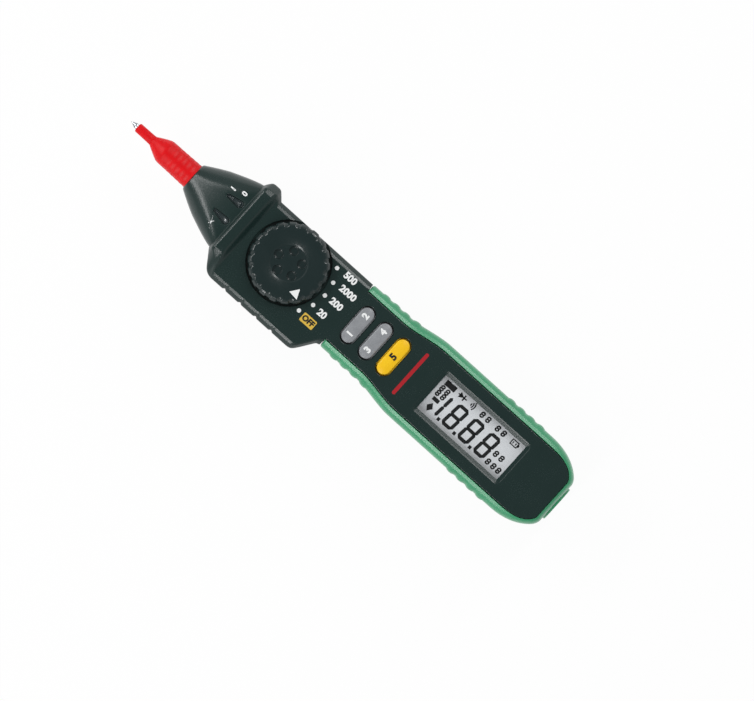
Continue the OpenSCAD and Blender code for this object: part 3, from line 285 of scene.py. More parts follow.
def side_half(y):
    """Half the handle's width over the rubber."""
    return neck_half + (main_half - neck_half) * smooth((flare_y - y) / flare_len)


def core_half(y):
    """Half the width of the case between the rubber."""
    if y >= tail_y:
        return side_half(y) - band
    share, power = core_tail
    return (main_half - band) * taper((tail_y - y) / (tail_y - core_end_y) * share, power)


# Outline of the deck, as places along the body and reaches: the bulge on the left, the collar's end
# on the right, and how far the collar rises over the face
left_stops = [(-27.4, deck_half), (-27.0, 14.85), (-25.0, 17.55), (-23.0, 20.45), (-21.8, 21.95),
              (-21.0, 22.6), (-20.0, 22.92), (-18.5, bulge_reach), (17.2, bulge_reach), (18.3, 22.88),
              (19.2, 22.62), (20.0, 22.2), (20.8, 21.55), (22.0, 20.05), (23.0, 18.6), (24.0, 17.2),
              (25.0, 15.8), (collar_front_y, 15.1)]
right_stops = [(16.7, deck_half), (17.1, 14.95), (18.0, 15.95), (19.0, 17.0), (19.5, 17.5), (20.0, 17.78),
               (20.7, collar_reach), (22.2, collar_reach), (23.0, 17.8), (23.5, 17.6), (24.0, 17.15),
               (25.0, 15.85), (collar_front_y, 15.1)]
rise_stops = [(18.0, 0.0), (18.35, 0.14), (20.5, 1.85), (21.0, collar_rise), (23.6, collar_rise),
              (23.75, 1.97), (24.25, 1.74), (24.45, 1.6), (25.2, 0.3), (collar_front_y, 0.1)]


def notch(y):
    """How deep the nearest finger notch of the bulge is here."""
    offs = [abs(y + notch_shift - k * notch_pitch) for k in (-1.5, -0.5, 0.5, 1.5)]
    return notch_depth * max(smooth(1 - off / notch_half) for off in offs)


def even(y, side, high, edge, fall):
    """Section that is alike on both sides, with round corners."""
    return dict(y=y, left=side, right=side, high=high, left_edge=edge, right_edge=edge, fall=fall, round=1.0)


def nose_section(y, depth):
    """Section of the nose: round at the mouth, and squarer towards the collar."""
    t = (mouth_y - y) / nose_len
    grown = 1 - (1 - t) ** nose_swell
    low = min(max((t - slim_start) / (1 - slim_start), 0.0), 1.0)
    side = mouth_r + (nose_half - mouth_r) * grown - nose_slim * 4 * low * (1 - low)
    high = mouth_r + (depth - mouth_r) * grown
    edge = mouth_round * side * (1 - t) + nose_corner * t
    fall = mouth_round * high * (1 - t) + nose_corner * t
    return even(y, side, high, edge, fall)


def deck_section(y, depth, raised, edge, soft):
    """Section of the deck with its bulge, and of the collar, where the front half is raised."""
    left = through(left_stops, y)
    right = through(right_stops, y)
    rise = through(rise_stops, y) if raised else 0.0
    k = rise / collar_rise
    return dict(
        y=y, left=left, right=right, high=depth + rise,
        left_edge=edge[0] + (left - crest_half - edge[0]) * k,
        right_edge=edge[0] + (right - crest_half - edge[0]) * k,
        fall=edge[1] + (end_fall - edge[1]) * k, round=soft, notch=notch(y))


def bend(first, middle, last, count):
    """Points of a fillet from one place to another, drawn towards a corner."""
    shares = [k / (count - 1) for k in range(count)]
    return [tuple((1 - u) ** 2 * a + 2 * u * (1 - u) * b + u * u * c for a, b, c in zip(first, middle, last))
            for u in shares]


def corner(edge, fall, rounded):
    """Insets and drops of a corner, from the side up: a steep slope and a ledge, or an arc."""
    run = edge * (1 - ledge_share)
    ledge = edge - run
    low = ledge * ledge_slope
    steep = (run * 0.25, (fall - low) * 0.25)
    foot = (run - steep[0] * 0.6, low + steep[1] * 0.6)
    bevel = (bend((0, fall + 0.4), (0, fall), (steep[0], fall - steep[1]), 5)
             + bend(foot, (run, low), (run + ledge * 0.2, low * 0.8), 4)
             + bend((edge - ledge * 0.15, low * 0.15), (edge, 0), (edge + 0.15, 0), 3))
    arc = [(edge * (1 - cos(a)), fall * (1 - sin(a))) for a in quarter(len(bevel) - 1)]
    return [(p[0] + (q[0] - p[0]) * rounded, p[1] + (q[1] - p[1]) * rounded) for p, q in zip(bevel, arc)]


def arch(s, gap):
    """Section as points from the right foot over the top to the left foot."""
    right = [(s["right"] - i, s["high"] - d) for i, d in corner(s["right_edge"], s["fall"], s["round"])]
    dip = s.get("notch", 0.0)
    left = [(-s["left"] + i + dip * (1 - i / s["left_edge"]), s["high"] - d)
            for i, d in corner(s["left_edge"], s["fall"], s["round"])]
    foot = -s["left"] + dip
    top = [(x, s["high"]) for x in spread(right[-1][0], left[-1][0], top_columns + 1)[1:-1]]
    return ([(s["right"] - gap, 0.0), (s["right"], gap)] + right + top
            + left[::-1] + [(foot, gap), (foot + gap, 0.0)])


def cavity(s, depth, over):
    """The hollow of a section: walled in, or a small arch where an end wall is bored."""
    y = s["y"]
    if y >= mouth_y - clamp_len or y <= core_end_y + wall:
        return even(y, 3.0, 3.0, 2.7, 2.7)
    reach = (s["left"], s["right"])
    if y <= deck_back_y + wall:
        reach = (core_half(max(y - wall, core_end_y)),) * 2
    return dict(
        y=y, left=reach[0] - wall, right=reach[1] - wall, high=min(s["high"], depth) - over,
        left_edge=max(s["left_edge"] - wall, 0.6), right_edge=max(s["right_edge"] - wall, 0.6),
        fall=max(s["fall"] - over, 0.6), round=1.0)


def loft(rings):
    """Rings of one even length joined in turn, with a ladder of quads across each end."""
    n = len(rings[0])
    last = (len(rings) - 1) * n
    points = [p for ring in rings for p in ring]
    faces = [(i * n + j, i * n + (j + 1) % n, (i + 1) * n + (j + 1) % n, (i + 1) * n + j)
             for i in range(len(rings) - 1) for j in range(n)]
    for k in (0, last):
        faces += [(k + j, k + j + 1, k + n - 2 - j, k + n - 1 - j) for j in range(n // 2 - 1)]
    return points, faces


def solid(name, *forms):
    """Object from the points and faces of one or more closed forms."""
    points, faces = [], []
    for form in forms:
        faces += [[i + len(points) for i in face] for face in form[1]]
        points += form[0]
    mesh = bpy.data.meshes.new(name)
    mesh.from_pydata([(x * mm, y * mm, z * mm) for x, y, z in points], [], faces)
    shape = bmesh.new()
    shape.from_mesh(mesh)
    bmesh.ops.recalc_face_normals(shape, faces=shape.faces)
    shape.to_mesh(mesh)
    shape.free()
    return add(name, mesh)


def cut(name, *forms):
    """Step that cuts some forms out of a piece."""
    return "DIFFERENCE", solid(name, *forms)


def join(name, *forms):
    """Step that joins some forms to a piece."""
    return "UNION", solid(name, *forms)


def carve(piece, *steps):
    """Take the piece through its steps in turn, and drop their tools."""
    for operation, tool in steps:
        change = piece.modifiers.new("carve", "BOOLEAN")
        change.operation = operation
        change.solver = "EXACT"
        change.object = tool
    graph = bpy.context.evaluated_depsgraph_get()
    result = bpy.data.meshes.new_from_object(piece.evaluated_get(graph))
    piece.modifiers.clear()
    old = piece.data
    piece.data = result
    bpy.data.meshes.remove(old)
    for _, tool in steps:
        bpy.data.meshes.remove(tool.data)
    return piece


def dress(piece, body, material, replaces=(), sharp=32):
    """Shade the piece, give it its finish and let it ride on its body."""
    piece.data.shade_smooth()
    piece.data.set_sharp_from_angle(angle=radians(sharp))
    piece.data.materials.clear()
    piece.data.materials.append(material)
    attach(piece, body)
    if replaces:
        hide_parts(*replaces)
    return piece


def turned(points, turn, at=(0.0, 0.0)):
    """Points turned by some degrees and moved to a place."""
    c, s = cos(radians(turn)), sin(radians(turn))
    return [(at[0] + x * c - y * s, at[1] + x * s + y * c) for x, y in points]


def round_outline(radius, count=96):
    turns = [2 * pi * (k + 0.5) / count for k in range(count)]
    return lambda grow: [((radius + grow) * cos(a), (radius + grow) * sin(a)) for a in turns]


def slot_outline(length, width, arc=24):
    """Stadium that lies along X."""
    def at(grow):
        r = width / 2 + grow
        run = (length - width) / 2
        turns = [pi * (k / arc - 0.5) for k in range(arc + 1)]
        right = [(run + r * cos(a), r * sin(a)) for a in turns]
        return right + [(-x, -y) for x, y in right]
    return at


def block_outline(width, length, radius, arc=5):
    """Rounded rectangle, its sides across X and Y."""
    def at(grow):
        r = max(radius + grow, 0.02)
        points = []
        for k, (sx, sy) in enumerate([(1, -1), (1, 1), (-1, 1), (-1, -1)]):
            cx = sx * (width / 2 + grow - r)
            cy = sy * (length / 2 + grow - r)
            turns = [pi / 2 * (k - 1 + j / arc) for j in range(arc + 1)]
            points += [(cx + r * cos(a), cy + r * sin(a)) for a in turns]
        return points
    return at


def stack(outline, levels, at=(0.0, 0.0)):
    """Upright form: the outline, grown by each level's amount, at that level's height."""
    return loft([[(at[0] + x, at[1] + y, z) for x, y in outline(grow)] for z, grow in levels])


def barrel(profile, count=64):
    """Turned form along Y from its profile of places and radii."""
    return loft([[(x, y, split_z + z) for x, z in round_outline(r, count)(0.0)] for y, r in profile])


def lip(depth, radius):
    """Levels of a cutter that leaves a rounded lip round its hole in the face."""
    curve = [(face_z - radius + radius * sin(a), radius * (1 - cos(a))) for a in quarter(5)]
    return [(depth, 0.0)] + curve + [(face_z + 1, radius)]


def case_shell(depth, side, raised, edge, soft, over):
    """One half of the case as a hollow loft; side is 1 for the front and -1 for the back."""
    nose_ys = [mouth_y] + spread(mouth_y - 0.3, mouth_y - clamp_len, 8)
    nose_ys += spread(mouth_y - clamp_len - 0.4, collar_front_y, 22)
    sections = [nose_section(y, depth) for y in nose_ys]
    sections[0]["shrink"] = 0.35
    deck_ys = spread(collar_front_y - 0.05, deck_start_y, 59)
    deck_ys += spread(deck_start_y - 0.3, deck_back_y + wall, 150) + [deck_back_y + wall - 0.4, deck_back_y]
    sections += [deck_section(y, depth, raised, edge, soft) for y in deck_ys]
    tail_ys = [tail_y - (tail_y - core_end_y) * (1 - (1 - k / 30) ** 1.6) for k in range(1, 31)]
    tail_ys = sorted(tail_ys + [core_end_y + wall + 0.4, core_end_y + wall], reverse=True)
    handle_ys = [grip_y] + spread(-29.2, flare_y, 6) + spread(flare_y - 0.6, flare_y - flare_len, 24)
    handle_ys += spread(-65, tail_y, 10) + tail_ys
    sections += [even(y, core_half(y), depth, core_edge, core_edge) for y in handle_ys]
    rings = []
    for s in sections:
        small = 1 - s.get("shrink", 0.0) / s["right"]
        outer = [(x * small, z * small) for x, z in arch(s, parting)]
        inner = arch(cavity(s, depth, over), 0.1)
        rings.append([(x, s["y"], split_z + side * z) for x, z in outer + inner[::-1]])
    return loft(rings)


def end_bores():
    """Cutters of the mouth that clamps the sleeve, and of the seat of the jack."""
    mouth = [(mouth_y - 8.5, barrel_r + 0.05), (mouth_y - 0.3, barrel_r + 0.05), (mouth_y, barrel_r + 0.3),
             (mouth_y + 1, barrel_r + 0.3)]
    jack = [(core_end_y - 1, jack_r + 0.05), (core_end_y + 15, jack_r + 0.05)]
    return [cut("mouth", barrel(mouth)), cut("jack_bore", barrel(jack))]


knob_r = 15.0
well_r = knob_r + 0.65
well_z = face_z - 2.0
cup_z = well_z - wall
stem_r = 4.0
key_len = 15.4
key_w = 5.3
key_gap = 0.5
key_ys = [deck_back_y - 5.7 - 8.65 * k for k in range(3)]
window_len = 39.0
window_w = 15.8
window_y = deck_back_y - 41.6 - window_len / 2
window_drop = 0.44
bezel = 1.7
lens_z = 22.2
lens_top_z = 23.6
lens_margin = 0.8
lamp_y = collar_front_y + 2.0
lamp_xs = (-3.95, 3.95)
lamp_splay = 4.0
lamp_len = 7.0
lamp_w = 2.6


def drop_outline(wide, narrow, length, arc=12):
    """Drop with its wide end at the origin and its narrow end along +Y."""
    def at(grow):
        big = wide / 2 + grow
        small = narrow / 2 + grow
        run = length - wide / 2 - narrow / 2
        lean = asin((big - small) / run)
        tip = [lean + (pi - 2 * lean) * k / (arc - 1) for k in range(arc)]
        base = [pi - lean + (pi + 2 * lean) * k / (arc + 1) for k in range(arc + 2)]
        return ([(small * cos(a), run + small * sin(a)) for a in tip]
                + [(big * cos(a), big * sin(a)) for a in base])
    return at


def cup_outline(grow):
    """Cup under the dial, cut short on the right, where the deck's wall stands."""
    return [(min(x, deck_half - wall / 2), y) for x, y in round_outline(well_r + wall)(grow)]


def nose_top(x, y):
    """Height of the nose's surface over the case's middle part."""
    s = nose_section(y, front_depth)
    flat_half = s["right"] - s["right_edge"]
    if abs(x) <= flat_half:
        return split_z + s["high"]
    u = (abs(x) - flat_half) / s["right_edge"]
    return split_z + s["high"] - s["fall"] * (1 - sqrt(max(1 - u * u, 0.0)))


lamp_drop = drop_outline(lamp_w, lamp_w * 0.46, lamp_len)


def on_nose(x, levels):
    """Lamp-shaped form in the nose; each level is a growth and a height, below the surface or fixed."""
    rings = []
    for grow, sink, fixed in levels:
        places = turned(lamp_drop(grow), copysign(lamp_splay, x), (x, lamp_y))
        rings.append([(*at, fixed if fixed else nose_top(*at) - sink) for at in places])
    return loft(rings)


slot_levels = [(0.08, 0, split_z - 1), (0.08, 0.5, None), (0.12, 0.25, None), (0.22, 0.08, None),
               (0.4, -0.02, None), (0.6, -0.5, None)]
key_slots = [stack(slot_outline(key_len + 2 * key_gap, key_w + 2 * key_gap), lip(20.0, 0.35), at=(0, y))
             for y in key_ys]
bezel_levels = [(lens_z - 1, 0), (face_z - window_drop, 0), (face_z - 0.17, bezel - 0.44),
                (face_z - 0.15, bezel - 0.34), (face_z - 0.085, bezel - 0.2), (face_z - 0.02, bezel - 0.06),
                (face_z, bezel + 0.1), (face_z + 1, bezel + 0.1)]
lens_seat = stack(block_outline(window_w + 2 * lens_margin + 0.1, window_len + 2 * lens_margin + 0.1, 0.4),
                  [(lens_z - 1, 0), (lens_top_z + 0.05, 0)], at=(0, window_y))
front_steps = [
    join("cup", stack(cup_outline, [(cup_z, 0), (well_z + 0.6, 0)])),
    cut("well", stack(round_outline(well_r, 128), lip(well_z, 0.3))),
    cut("stem_bore", stack(round_outline(stem_r + 0.05, 48), [(cup_z - 1, 0), (well_z + 1, 0)])),
    cut("key_slots", *key_slots),
    cut("window", stack(block_outline(window_w, window_len, 0.25), bezel_levels, at=(0, window_y))),
    cut("lens_seat", lens_seat),
    cut("lamp_slots", *[on_nose(x, slot_levels) for x in lamp_xs])]
front_loft = case_shell(front_depth, 1, True, deck_bevel, 0.0, face_wall)
front_shell = carve(solid("front_shell", front_loft), *front_steps, *end_bores())


def place(nodes):
    """Where a point lies on the piece itself."""
    return nodes.node("ShaderNodeTexCoord", {}, {}, "Object")


def noise(nodes, size, detail=2.0):
    """Mottling from 0 to 1 with spots of a size in millimetres."""
    values = {"Vector": place(nodes), "Scale": 1 / (size * mm), "Detail": detail}
    return nodes.node("ShaderNodeTexNoise", {}, values)


def feed(nodes, **varying):
    """Link what changes over the surface into the shader."""
    shader = nodes.tree.nodes["Principled BSDF"]
    for socket, term in varying.items():
        nodes.tree.links.new(term.socket, shader.inputs[socket.replace("_", " ")])


def relief(nodes, pattern, depth):
    """Bump of a pattern, its depth in millimetres."""
    return nodes.node("ShaderNodeBump", {}, {"Height": pattern, "Distance": depth * mm, "Strength": 1.0})


def moulded(name, colour, rough, grain, depth, shade=0.12, specular=0.3):
    """Moulded plastic: a fine spark-eroded grain, faint flow mottling and a rub on its roughness."""
    material, nodes = start(name, {"Specular IOR Level": specular})
    fine = noise(nodes, grain, 3.0)
    flow = noise(nodes, 9.0)
    dark = [v * (1 - shade) for v in colour[:3]] + [1.0]
    pale = [v * (1 + shade) for v in colour[:3]] + [1.0]
    feed(nodes, Base_Color=nodes.tint(flow * 0.6 + fine * 0.4, dark, pale), Normal=relief(nodes, fine, depth),
         Roughness=fine * 0.16 + flow * 0.08 + (rough - 0.12))
    return material


case_plastic = moulded("case_plastic", srgb(28, 46, 44), 0.25, 0.35, 0.003, shade=0.08, specular=0.45)
dress(front_shell, "meter", case_plastic, ["front_case"])


# Rear case: the matching shell, flat on its back, with deep wells for the four case screws
# and a recess for the battery cover. The cells' bay opens under the cover.
cell_r = 5.25
bay_half = 2 * cell_r + 0.4
bay_y = (-107.0, -57.5)
bay_top_z = 12.5
cover_half = bay_half + 1.0
cover_y = (-108.3, -51.3)
cover_t = 1.6
cover_fit = 0.08
screw_places = [(-18.0, 14.0), (10.8, 17.0), (9.6, -117.0), (-9.6, -117.0)]
screw_head_r = 2.0
screw_well = 5.0
shank_r = 1.15
post_r = 3.3
cover_screw_y = cover_y[1] - 2.9
cover_bore = round_outline(0.95, 24)


def span_block(x, y, radius, levels):
    """Upright block over a span of X and of Y."""
    return stack(block_outline(x[1] - x[0], y[1] - y[0], radius), levels,
                 at=((x[0] + x[1]) / 2, (y[0] + y[1]) / 2))


def well_levels(depth, radius):
    """Levels of a cutter that leaves a rounded lip in the flat back."""
    curve = [(radius - radius * sin(a), radius * (1 - cos(a))) for a in quarter(4)]
    return [(depth, 0.0)] + curve + [(-1.0, radius)]


bay_walls = span_block((-bay_half - wall, bay_half + wall), (bay_y[0] - 2, bay_y[1] + 1.4), 0.3,
                       [(0.8, 0), (13.0, 0)])
cover_seat = span_block((-cover_half, cover_half), cover_y, 1.6,
                        [(z, g + cover_fit) for z, g in well_levels(cover_t, 0.2)])
posts = [stack(round_outline(post_r, 40), [(0.8, 0), (split_z, 0)], at=p)
         for p in screw_places + [(0, cover_screw_y)]]
wells = [stack(round_outline(screw_head_r + 0.1, 40), well_levels(screw_well + 1.6, 0.35), at=p)
         for p in screw_places]
shanks = [stack(round_outline(shank_r, 24), [(0.5, 0), (split_z + 1, 0)], at=p) for p in screw_places]
rear_steps = [
    join("bay_walls", bay_walls),
    join("screw_posts", *posts),
    cut("bay", span_block((-bay_half, bay_half), bay_y, 0.5, [(-1, 0), (bay_top_z, 0)])),
    cut("cover_seat", cover_seat),
    cut("wells", *wells),
    cut("shanks", *shanks),
    cut("cover_bore", stack(cover_bore, [(-1, 0), (6, 0)], at=(0, cover_screw_y)))]
rear_loft = case_shell(rear_depth, -1, False, (back_edge, back_edge), 1.0, wall)
rear_shell = carve(solid("rear_shell", rear_loft), *rear_steps, *end_bores())
dress(rear_shell, "meter", case_plastic, ["rear_case"])


# Rubber grip: soft green thermoplastic moulded round the sides and the tail of the handle. Its top
# band is rounded over, four finger ribs stand at each end of each side, and a boss rings the jack.
boss_r = 7.1
boss_end_y = tail_end_y - 0.8
rib_h = 0.45
rib_half = 1.75
rib_ys = [-34.8 - 4.82 * k for k in range(4)] + [-93.9 - 4.67 * k for k in range(4)]
grip_slim = 0.1
grip_low = 0.2
grip_high = face_z - 0.2
grip_tail = (0.852, 2.2)
tail_lead = 2.1
back_in = 3.0
back_rise = 5.0
front_round = 0.9
tail_round = 1.3
seat_fit = 0.04


def rib_at(y):
    """Height share of the finger ribs here: round bumps with a crisp foot."""
    u = min(abs(y - at) / rib_half for at in rib_ys)
    return (1 - u * u) ** 0.8 if u < 1 else 0.0


def grip_half(y):
    """Half the width over the rubber, drawn in round the tail."""
    share, power = grip_tail
    rounding = (tail_y + tail_lead - y) / (tail_len + tail_lead) * share
    return (side_half(y) - grip_slim) * taper(max(rounding, 0.0), power)


def grip_point(y, inset, rib):
    """Point of the rubber's outside, drawn in by an inset towards the case."""
    into_tail = max(tail_y - y, 0.0)
    seat_y = y if y >= tail_y else tail_y - into_tail * (tail_y - core_end_y) / tail_len
    outer = grip_half(y) + rib * rib_h * rib_at(y)
    for run, radius in ((max(grip_y - y, 0.0), front_round), (y - tail_end_y, tail_round)):
        if run < radius:
            outer -= radius - sqrt(max(radius ** 2 - (radius - run) ** 2, 0.0))
    seat = core_half(seat_y)
    share = inset / band
    return outer + (seat - outer) * share, y + (seat_y - y) * share, seat, seat_y


tail_steps = [1 - (1 - k / 40) ** 1.6 for k in range(1, 41)]
grip_ys = (spread(grip_y, grip_y - front_round, 5) + spread(grip_y - 1.2, -53.0, 120)
           + spread(-53.8, -63.0, 14) + spread(-64.0, -73.0, 6) + spread(-73.4, tail_y + 0.2, 170)
           + [tail_y - tail_len * t for t in tail_steps])
grip_levels = [(grip_low, back_in, 0.0)]
grip_levels += [(grip_low + back_rise * (1 - cos(a)), back_in * (1 - sin(a)), k / 8)
                for k, a in enumerate(quarter(8)) if k]
grip_levels += [(z, 0.0, 1.0) for z in (9.0, 13.0, 17.0)]
top_profile = [(5.2, 0.0), (4.3, 0.05), (3.5, 0.16), (2.8, 0.34), (2.2, 0.58), (1.7, 0.86), (1.25, 1.2),
               (0.9, 1.55), (0.63, 1.84), (0.5, 2.12), (0.36, 2.42), (0.24, 2.66), (0.13, 2.84), (0.1, 2.96),
               (0.16, 3.04), (0.5, 3.12), (1.4, 3.18)]
grip_levels += [(grip_high - fall, inset, 1 - smooth(inset / 1.7)) for fall, inset in top_profile]


def grip_ring(z, inset, rib):
    """One level of the grip: the outside down both sides and round the tail, and back on the case."""
    right = [grip_point(y, inset, rib) for y in grip_ys]
    out = [(x, y, z) for x, y, _, _ in right]
    back = [(seat + seat_fit, y - (seat_fit if y < tail_y else 0.0), z) for _, _, seat, y in right]
    return (out + [(-x, y, z) for x, y, z in out[::-1]]
            + [(-x, y, z) for x, y, z in back] + back[::-1])


boss = barrel([(core_end_y - 1.0, boss_r), (boss_end_y + 0.35, boss_r), (boss_end_y + 0.1, boss_r - 0.1),
               (boss_end_y, boss_r - 0.35), (boss_end_y, 1.0)], count=96)
plug_way = barrel([(boss_end_y - 1, jack_r + 0.3), (boss_end_y, jack_r + 0.3),
                   (boss_end_y + 0.25, jack_r + 0.05), (core_end_y + 1, jack_r + 0.05)])
grip_loft = loft([grip_ring(*level) for level in grip_levels])
rubber_grip = carve(solid("rubber_grip", grip_loft), join("boss", boss), cut("bore", plug_way))
rubber, nodes = start("grip_rubber", {
    "Specular IOR Level": 0.65, "Sheen Weight": 0.04, "Sheen Roughness": 0.5})
pores = noise(nodes, 0.4, 4.0)
handling = noise(nodes, 14.0)
skin = nodes.tint(handling * 0.7 + pores * 0.3, srgb(36, 138, 92), srgb(54, 162, 112))
feed(nodes, Base_Color=skin, Normal=relief(nodes, pores, 0.01),
     Roughness=pores * 0.1 + handling * 0.06 + 0.22)
dress(rubber_grip, "meter", rubber, ["side_grip"], sharp=48)


# Probe: a plated steel needle in a red insulating sleeve. The sleeve is moulded, glossy, with a thin
# neck, a conical shoulder and a barrel with soft finger rings where the nose clamps it.
needle_r = 1.0
needle_start_y = 24.3
needle_cone_y = 74.6
tip_y = 77.0
sleeve_end_y = 74.0
barrel_end_y = 61.0
barrel_swell = 0.17
barrel_taper = 0.24
shoulder_r = 4.72
cone_len = 5.6
neck_y = 67.0
neck_r = 1.88
ring_pitch = 2.1
ring_depth = 0.07
ring_end_y = 58.5


def ring_wave(y):
    """Depth of the soft finger rings here."""
    wave = 0.5 + 0.5 * cos(2 * pi * (y - mouth_y - 1.0) / ring_pitch)
    return ring_depth * wave * smooth((ring_end_y - y) / 1.5)


sleeve = [(mouth_y - 9.4, 2.6), (mouth_y - 7.0, 2.6), (mouth_y - 6.9, barrel_r)]
sleeve += [(mouth_y - 0.3, barrel_r), (mouth_y - 0.1, barrel_r + 0.12)]
sleeve += [(y, barrel_r + barrel_swell - barrel_taper * (y - mouth_y) / 14 - ring_wave(y))
           for y in spread(mouth_y, 60.2, 90)]
sleeve += [(barrel_end_y + cone_len * u, neck_r + (shoulder_r - neck_r) * (1 - u ** 1.1) + 0.08 * (1 - u) * u)
           for u in spread(0.03, 0.97, 20)]
sleeve += [(neck_y, neck_r + 0.02), (neck_y + 0.7, neck_r), (sleeve_end_y - 0.5, neck_r - 0.06),
           (sleeve_end_y - 0.2, neck_r - 0.2), (sleeve_end_y, neck_r - 0.5), (sleeve_end_y, needle_r + 0.02)]
needle_way = barrel([(mouth_y - 10, needle_r + 0.02), (sleeve_end_y + 1, needle_r + 0.02)])
red_sleeve = carve(solid("red_sleeve", barrel(sleeve, count=96)), cut("bore", needle_way))
red, nodes = start("sleeve_plastic", {"Specular IOR Level": 0.2})
waves = noise(nodes, 2.6)
specks = noise(nodes, 0.5, 3.0)
feed(nodes, Base_Color=nodes.tint(waves, srgb(206, 8, 16), srgb(234, 18, 26)),
     Normal=relief(nodes, waves * 0.8 + specks * 0.2, 0.05), Roughness=specks * 0.12 + 0.32)
dress(red_sleeve, "meter", red, ["probe_sleeve"], sharp=40)

cone_run = tip_y - 0.12 - needle_cone_y
point = [(needle_start_y, needle_r - 0.1), (needle_start_y + 0.1, needle_r), (needle_cone_y, needle_r)]
point += [(needle_cone_y + cone_run * u, needle_r * (1 - u) + 0.14) for u in spread(0.1, 0.95, 6)]
point += [(tip_y - 0.05, 0.12), (tip_y, 0.03)]
steel, nodes = start("needle_steel", {"Metallic": 1.0})
lathe = nodes.node("ShaderNodeTexWave", {"wave_type": "BANDS", "bands_direction": "Y"},
                   {"Vector": place(nodes), "Scale": 900.0, "Distortion": 2.0})
scratch = noise(nodes, 0.6, 4.0)
feed(nodes, Base_Color=nodes.tint(scratch, srgb(150, 153, 158), srgb(190, 193, 198)),
     Roughness=lathe * 0.06 + scratch * 0.12 + 0.16)
dress(solid("needle", barrel(point, count=48)), "meter", steel, ["probe_needle"], sharp=40)


# Range dial: a broad knob in the same dark plastic. Its bevelled rim is cut by twenty finger
# scallops, five round pockets are sunk in the hub, and a white arrow is printed on the top.
knob_z = well_z + 0.2
knob_top = knob_z + 5.77
scallops = 20
scallop_depth = 0.75
scallop_share = 0.5
rim_bevel = (1.0, 1.15)
rim_ledge = 0.45
hub_r = 7.1
hub_depth = 0.22
hub_z = knob_top - hub_depth
pocket_r = 1.75
pocket_ring = 4.8
rotor_z = 17.6
rest_angle = -126.0


def scallop(turn):
    """How deep the scallop is at a turn: a round bite between two lobes, from 0 to 1."""
    pitch = 2 * pi / scallops
    off = abs((turn / pitch) % 1 - 0.5) * 2 / scallop_share
    return 1 - off * off if off < 1 else 0.0


def knob_ring(radius, z, share, count=480):
    """One level of the knob, with its scallops cut to a share of their depth."""
    turns = [2 * pi * k / count for k in range(count)]
    reach = [radius - scallop_depth * share * scallop(a) for a in turns]
    return [(r * cos(a), r * sin(a), z) for r, a in zip(reach, turns)]


bevel_r = knob_r - rim_bevel[0]
ledge_r = bevel_r - rim_ledge
bevel_z = knob_top - rim_bevel[1]
rim_levels = [(0.03, rotor_z, 0), (stem_r, rotor_z, 0), (stem_r, knob_z, 0), (knob_r - 0.35, knob_z, 0.4),
              (knob_r - 0.1, knob_z + 0.12, 0.5), (knob_r, knob_z + 0.4, 0.5), (knob_r, knob_top - 2.4, 0.6),
              (knob_r - 0.02, bevel_z - 0.2, 0.7), (knob_r - 0.12, bevel_z, 0.75),
              (bevel_r + 0.12, knob_top - 0.32, 1), (bevel_r, knob_top - 0.22, 1),
              (ledge_r, knob_top - 0.02, 1), (ledge_r - 0.12, knob_top, 0.95), (knob_r - 3.0, knob_top, 0),
              (hub_r + 0.12, knob_top, 0), (hub_r, knob_top - 0.04, 0), (hub_r - 0.4, hub_z + 0.03, 0),
              (hub_r - 0.55, hub_z, 0), (0.03, hub_z, 0)]
pocket_levels = [(hub_z - 0.75, -0.3), (hub_z - 0.7, -0.12), (hub_z - 0.35, 0.0), (hub_z - 0.12, 0.03),
                 (hub_z - 0.03, 0.1), (hub_z, 0.28), (hub_z + 0.5, 0.28)]
pocket_places = [turned([(pocket_ring, 0.0)], 90 + 72 * k)[0] for k in range(5)]
pockets = [stack(round_outline(pocket_r, 40), pocket_levels, at=p) for p in pocket_places]
knob = carve(solid("knob", loft([knob_ring(*level) for level in rim_levels])), cut("pockets", *pockets))
dial_plastic = moulded("dial_plastic", srgb(26, 41, 41), 0.22, 0.3, 0.003, shade=0.05, specular=0.55)
dress(knob, "dial", dial_plastic, ["dial_knob"], sharp=38)


# Printing: pad-printed ink on the dark plastic, raised a hair. The words and names of a real meter
# are left out; the switch has OFF and plain numbers, and the lamps are marked 1 and 0.
ink_lift = 0.02
ink_thick = 0.03
dot_ring = 17.6
dot_r = 0.8


def ink(name, colour):
    """Printing ink, slightly patchy."""
    material, nodes = start(name, {"Specular IOR Level": 0.35})
    patch = noise(nodes, 0.3, 3.0)
    dull = [v * 0.9 for v in colour[:3]] + [1.0]
    feed(nodes, Base_Color=nodes.tint(patch, dull, colour), Roughness=patch * 0.2 + 0.38)
    return material


def words(name, text, at, size, turn, z, bold=0.05):
    """Printed characters, centred on a place, in the built-in plain font."""
    curve = bpy.data.curves.new(name, "FONT")
    curve.body = text
    curve.size = size * mm
    curve.offset = bold * size * mm
    curve.extrude = ink_thick / 2 * mm
    curve.align_x = "CENTER"
    curve.align_y = "CENTER"
    holder = add(name, curve)
    graph = bpy.context.evaluated_depsgraph_get()
    mesh = bpy.data.meshes.new_from_object(holder.evaluated_get(graph))
    bpy.data.objects.remove(holder)
    for v in mesh.vertices:
        x, y = turned([(v.co.x, v.co.y)], turn, (at[0] * mm, at[1] * mm))[0]
        v.co = (x, y, z * mm + v.co.z + ink_lift * mm)
    return add(name, mesh)


def plate(outline, at, z):
    """Thin printed shape on a surface."""
    return stack(outline, [(z + 0.005, 0.0), (z + ink_thick, 0.0)], at=at)


def flat(points, z):
    """Thin printed shape from its listed corners."""
    n = len(points)
    low = [(x, y, z + 0.005) for x, y in points]
    high = [(x, y, z + ink_thick) for x, y in points]
    sides = [(k, (k + 1) % n, n + (k + 1) % n, n + k) for k in range(n)]
    return low + high, sides + [tuple(range(n)), tuple(range(n, 2 * n))]


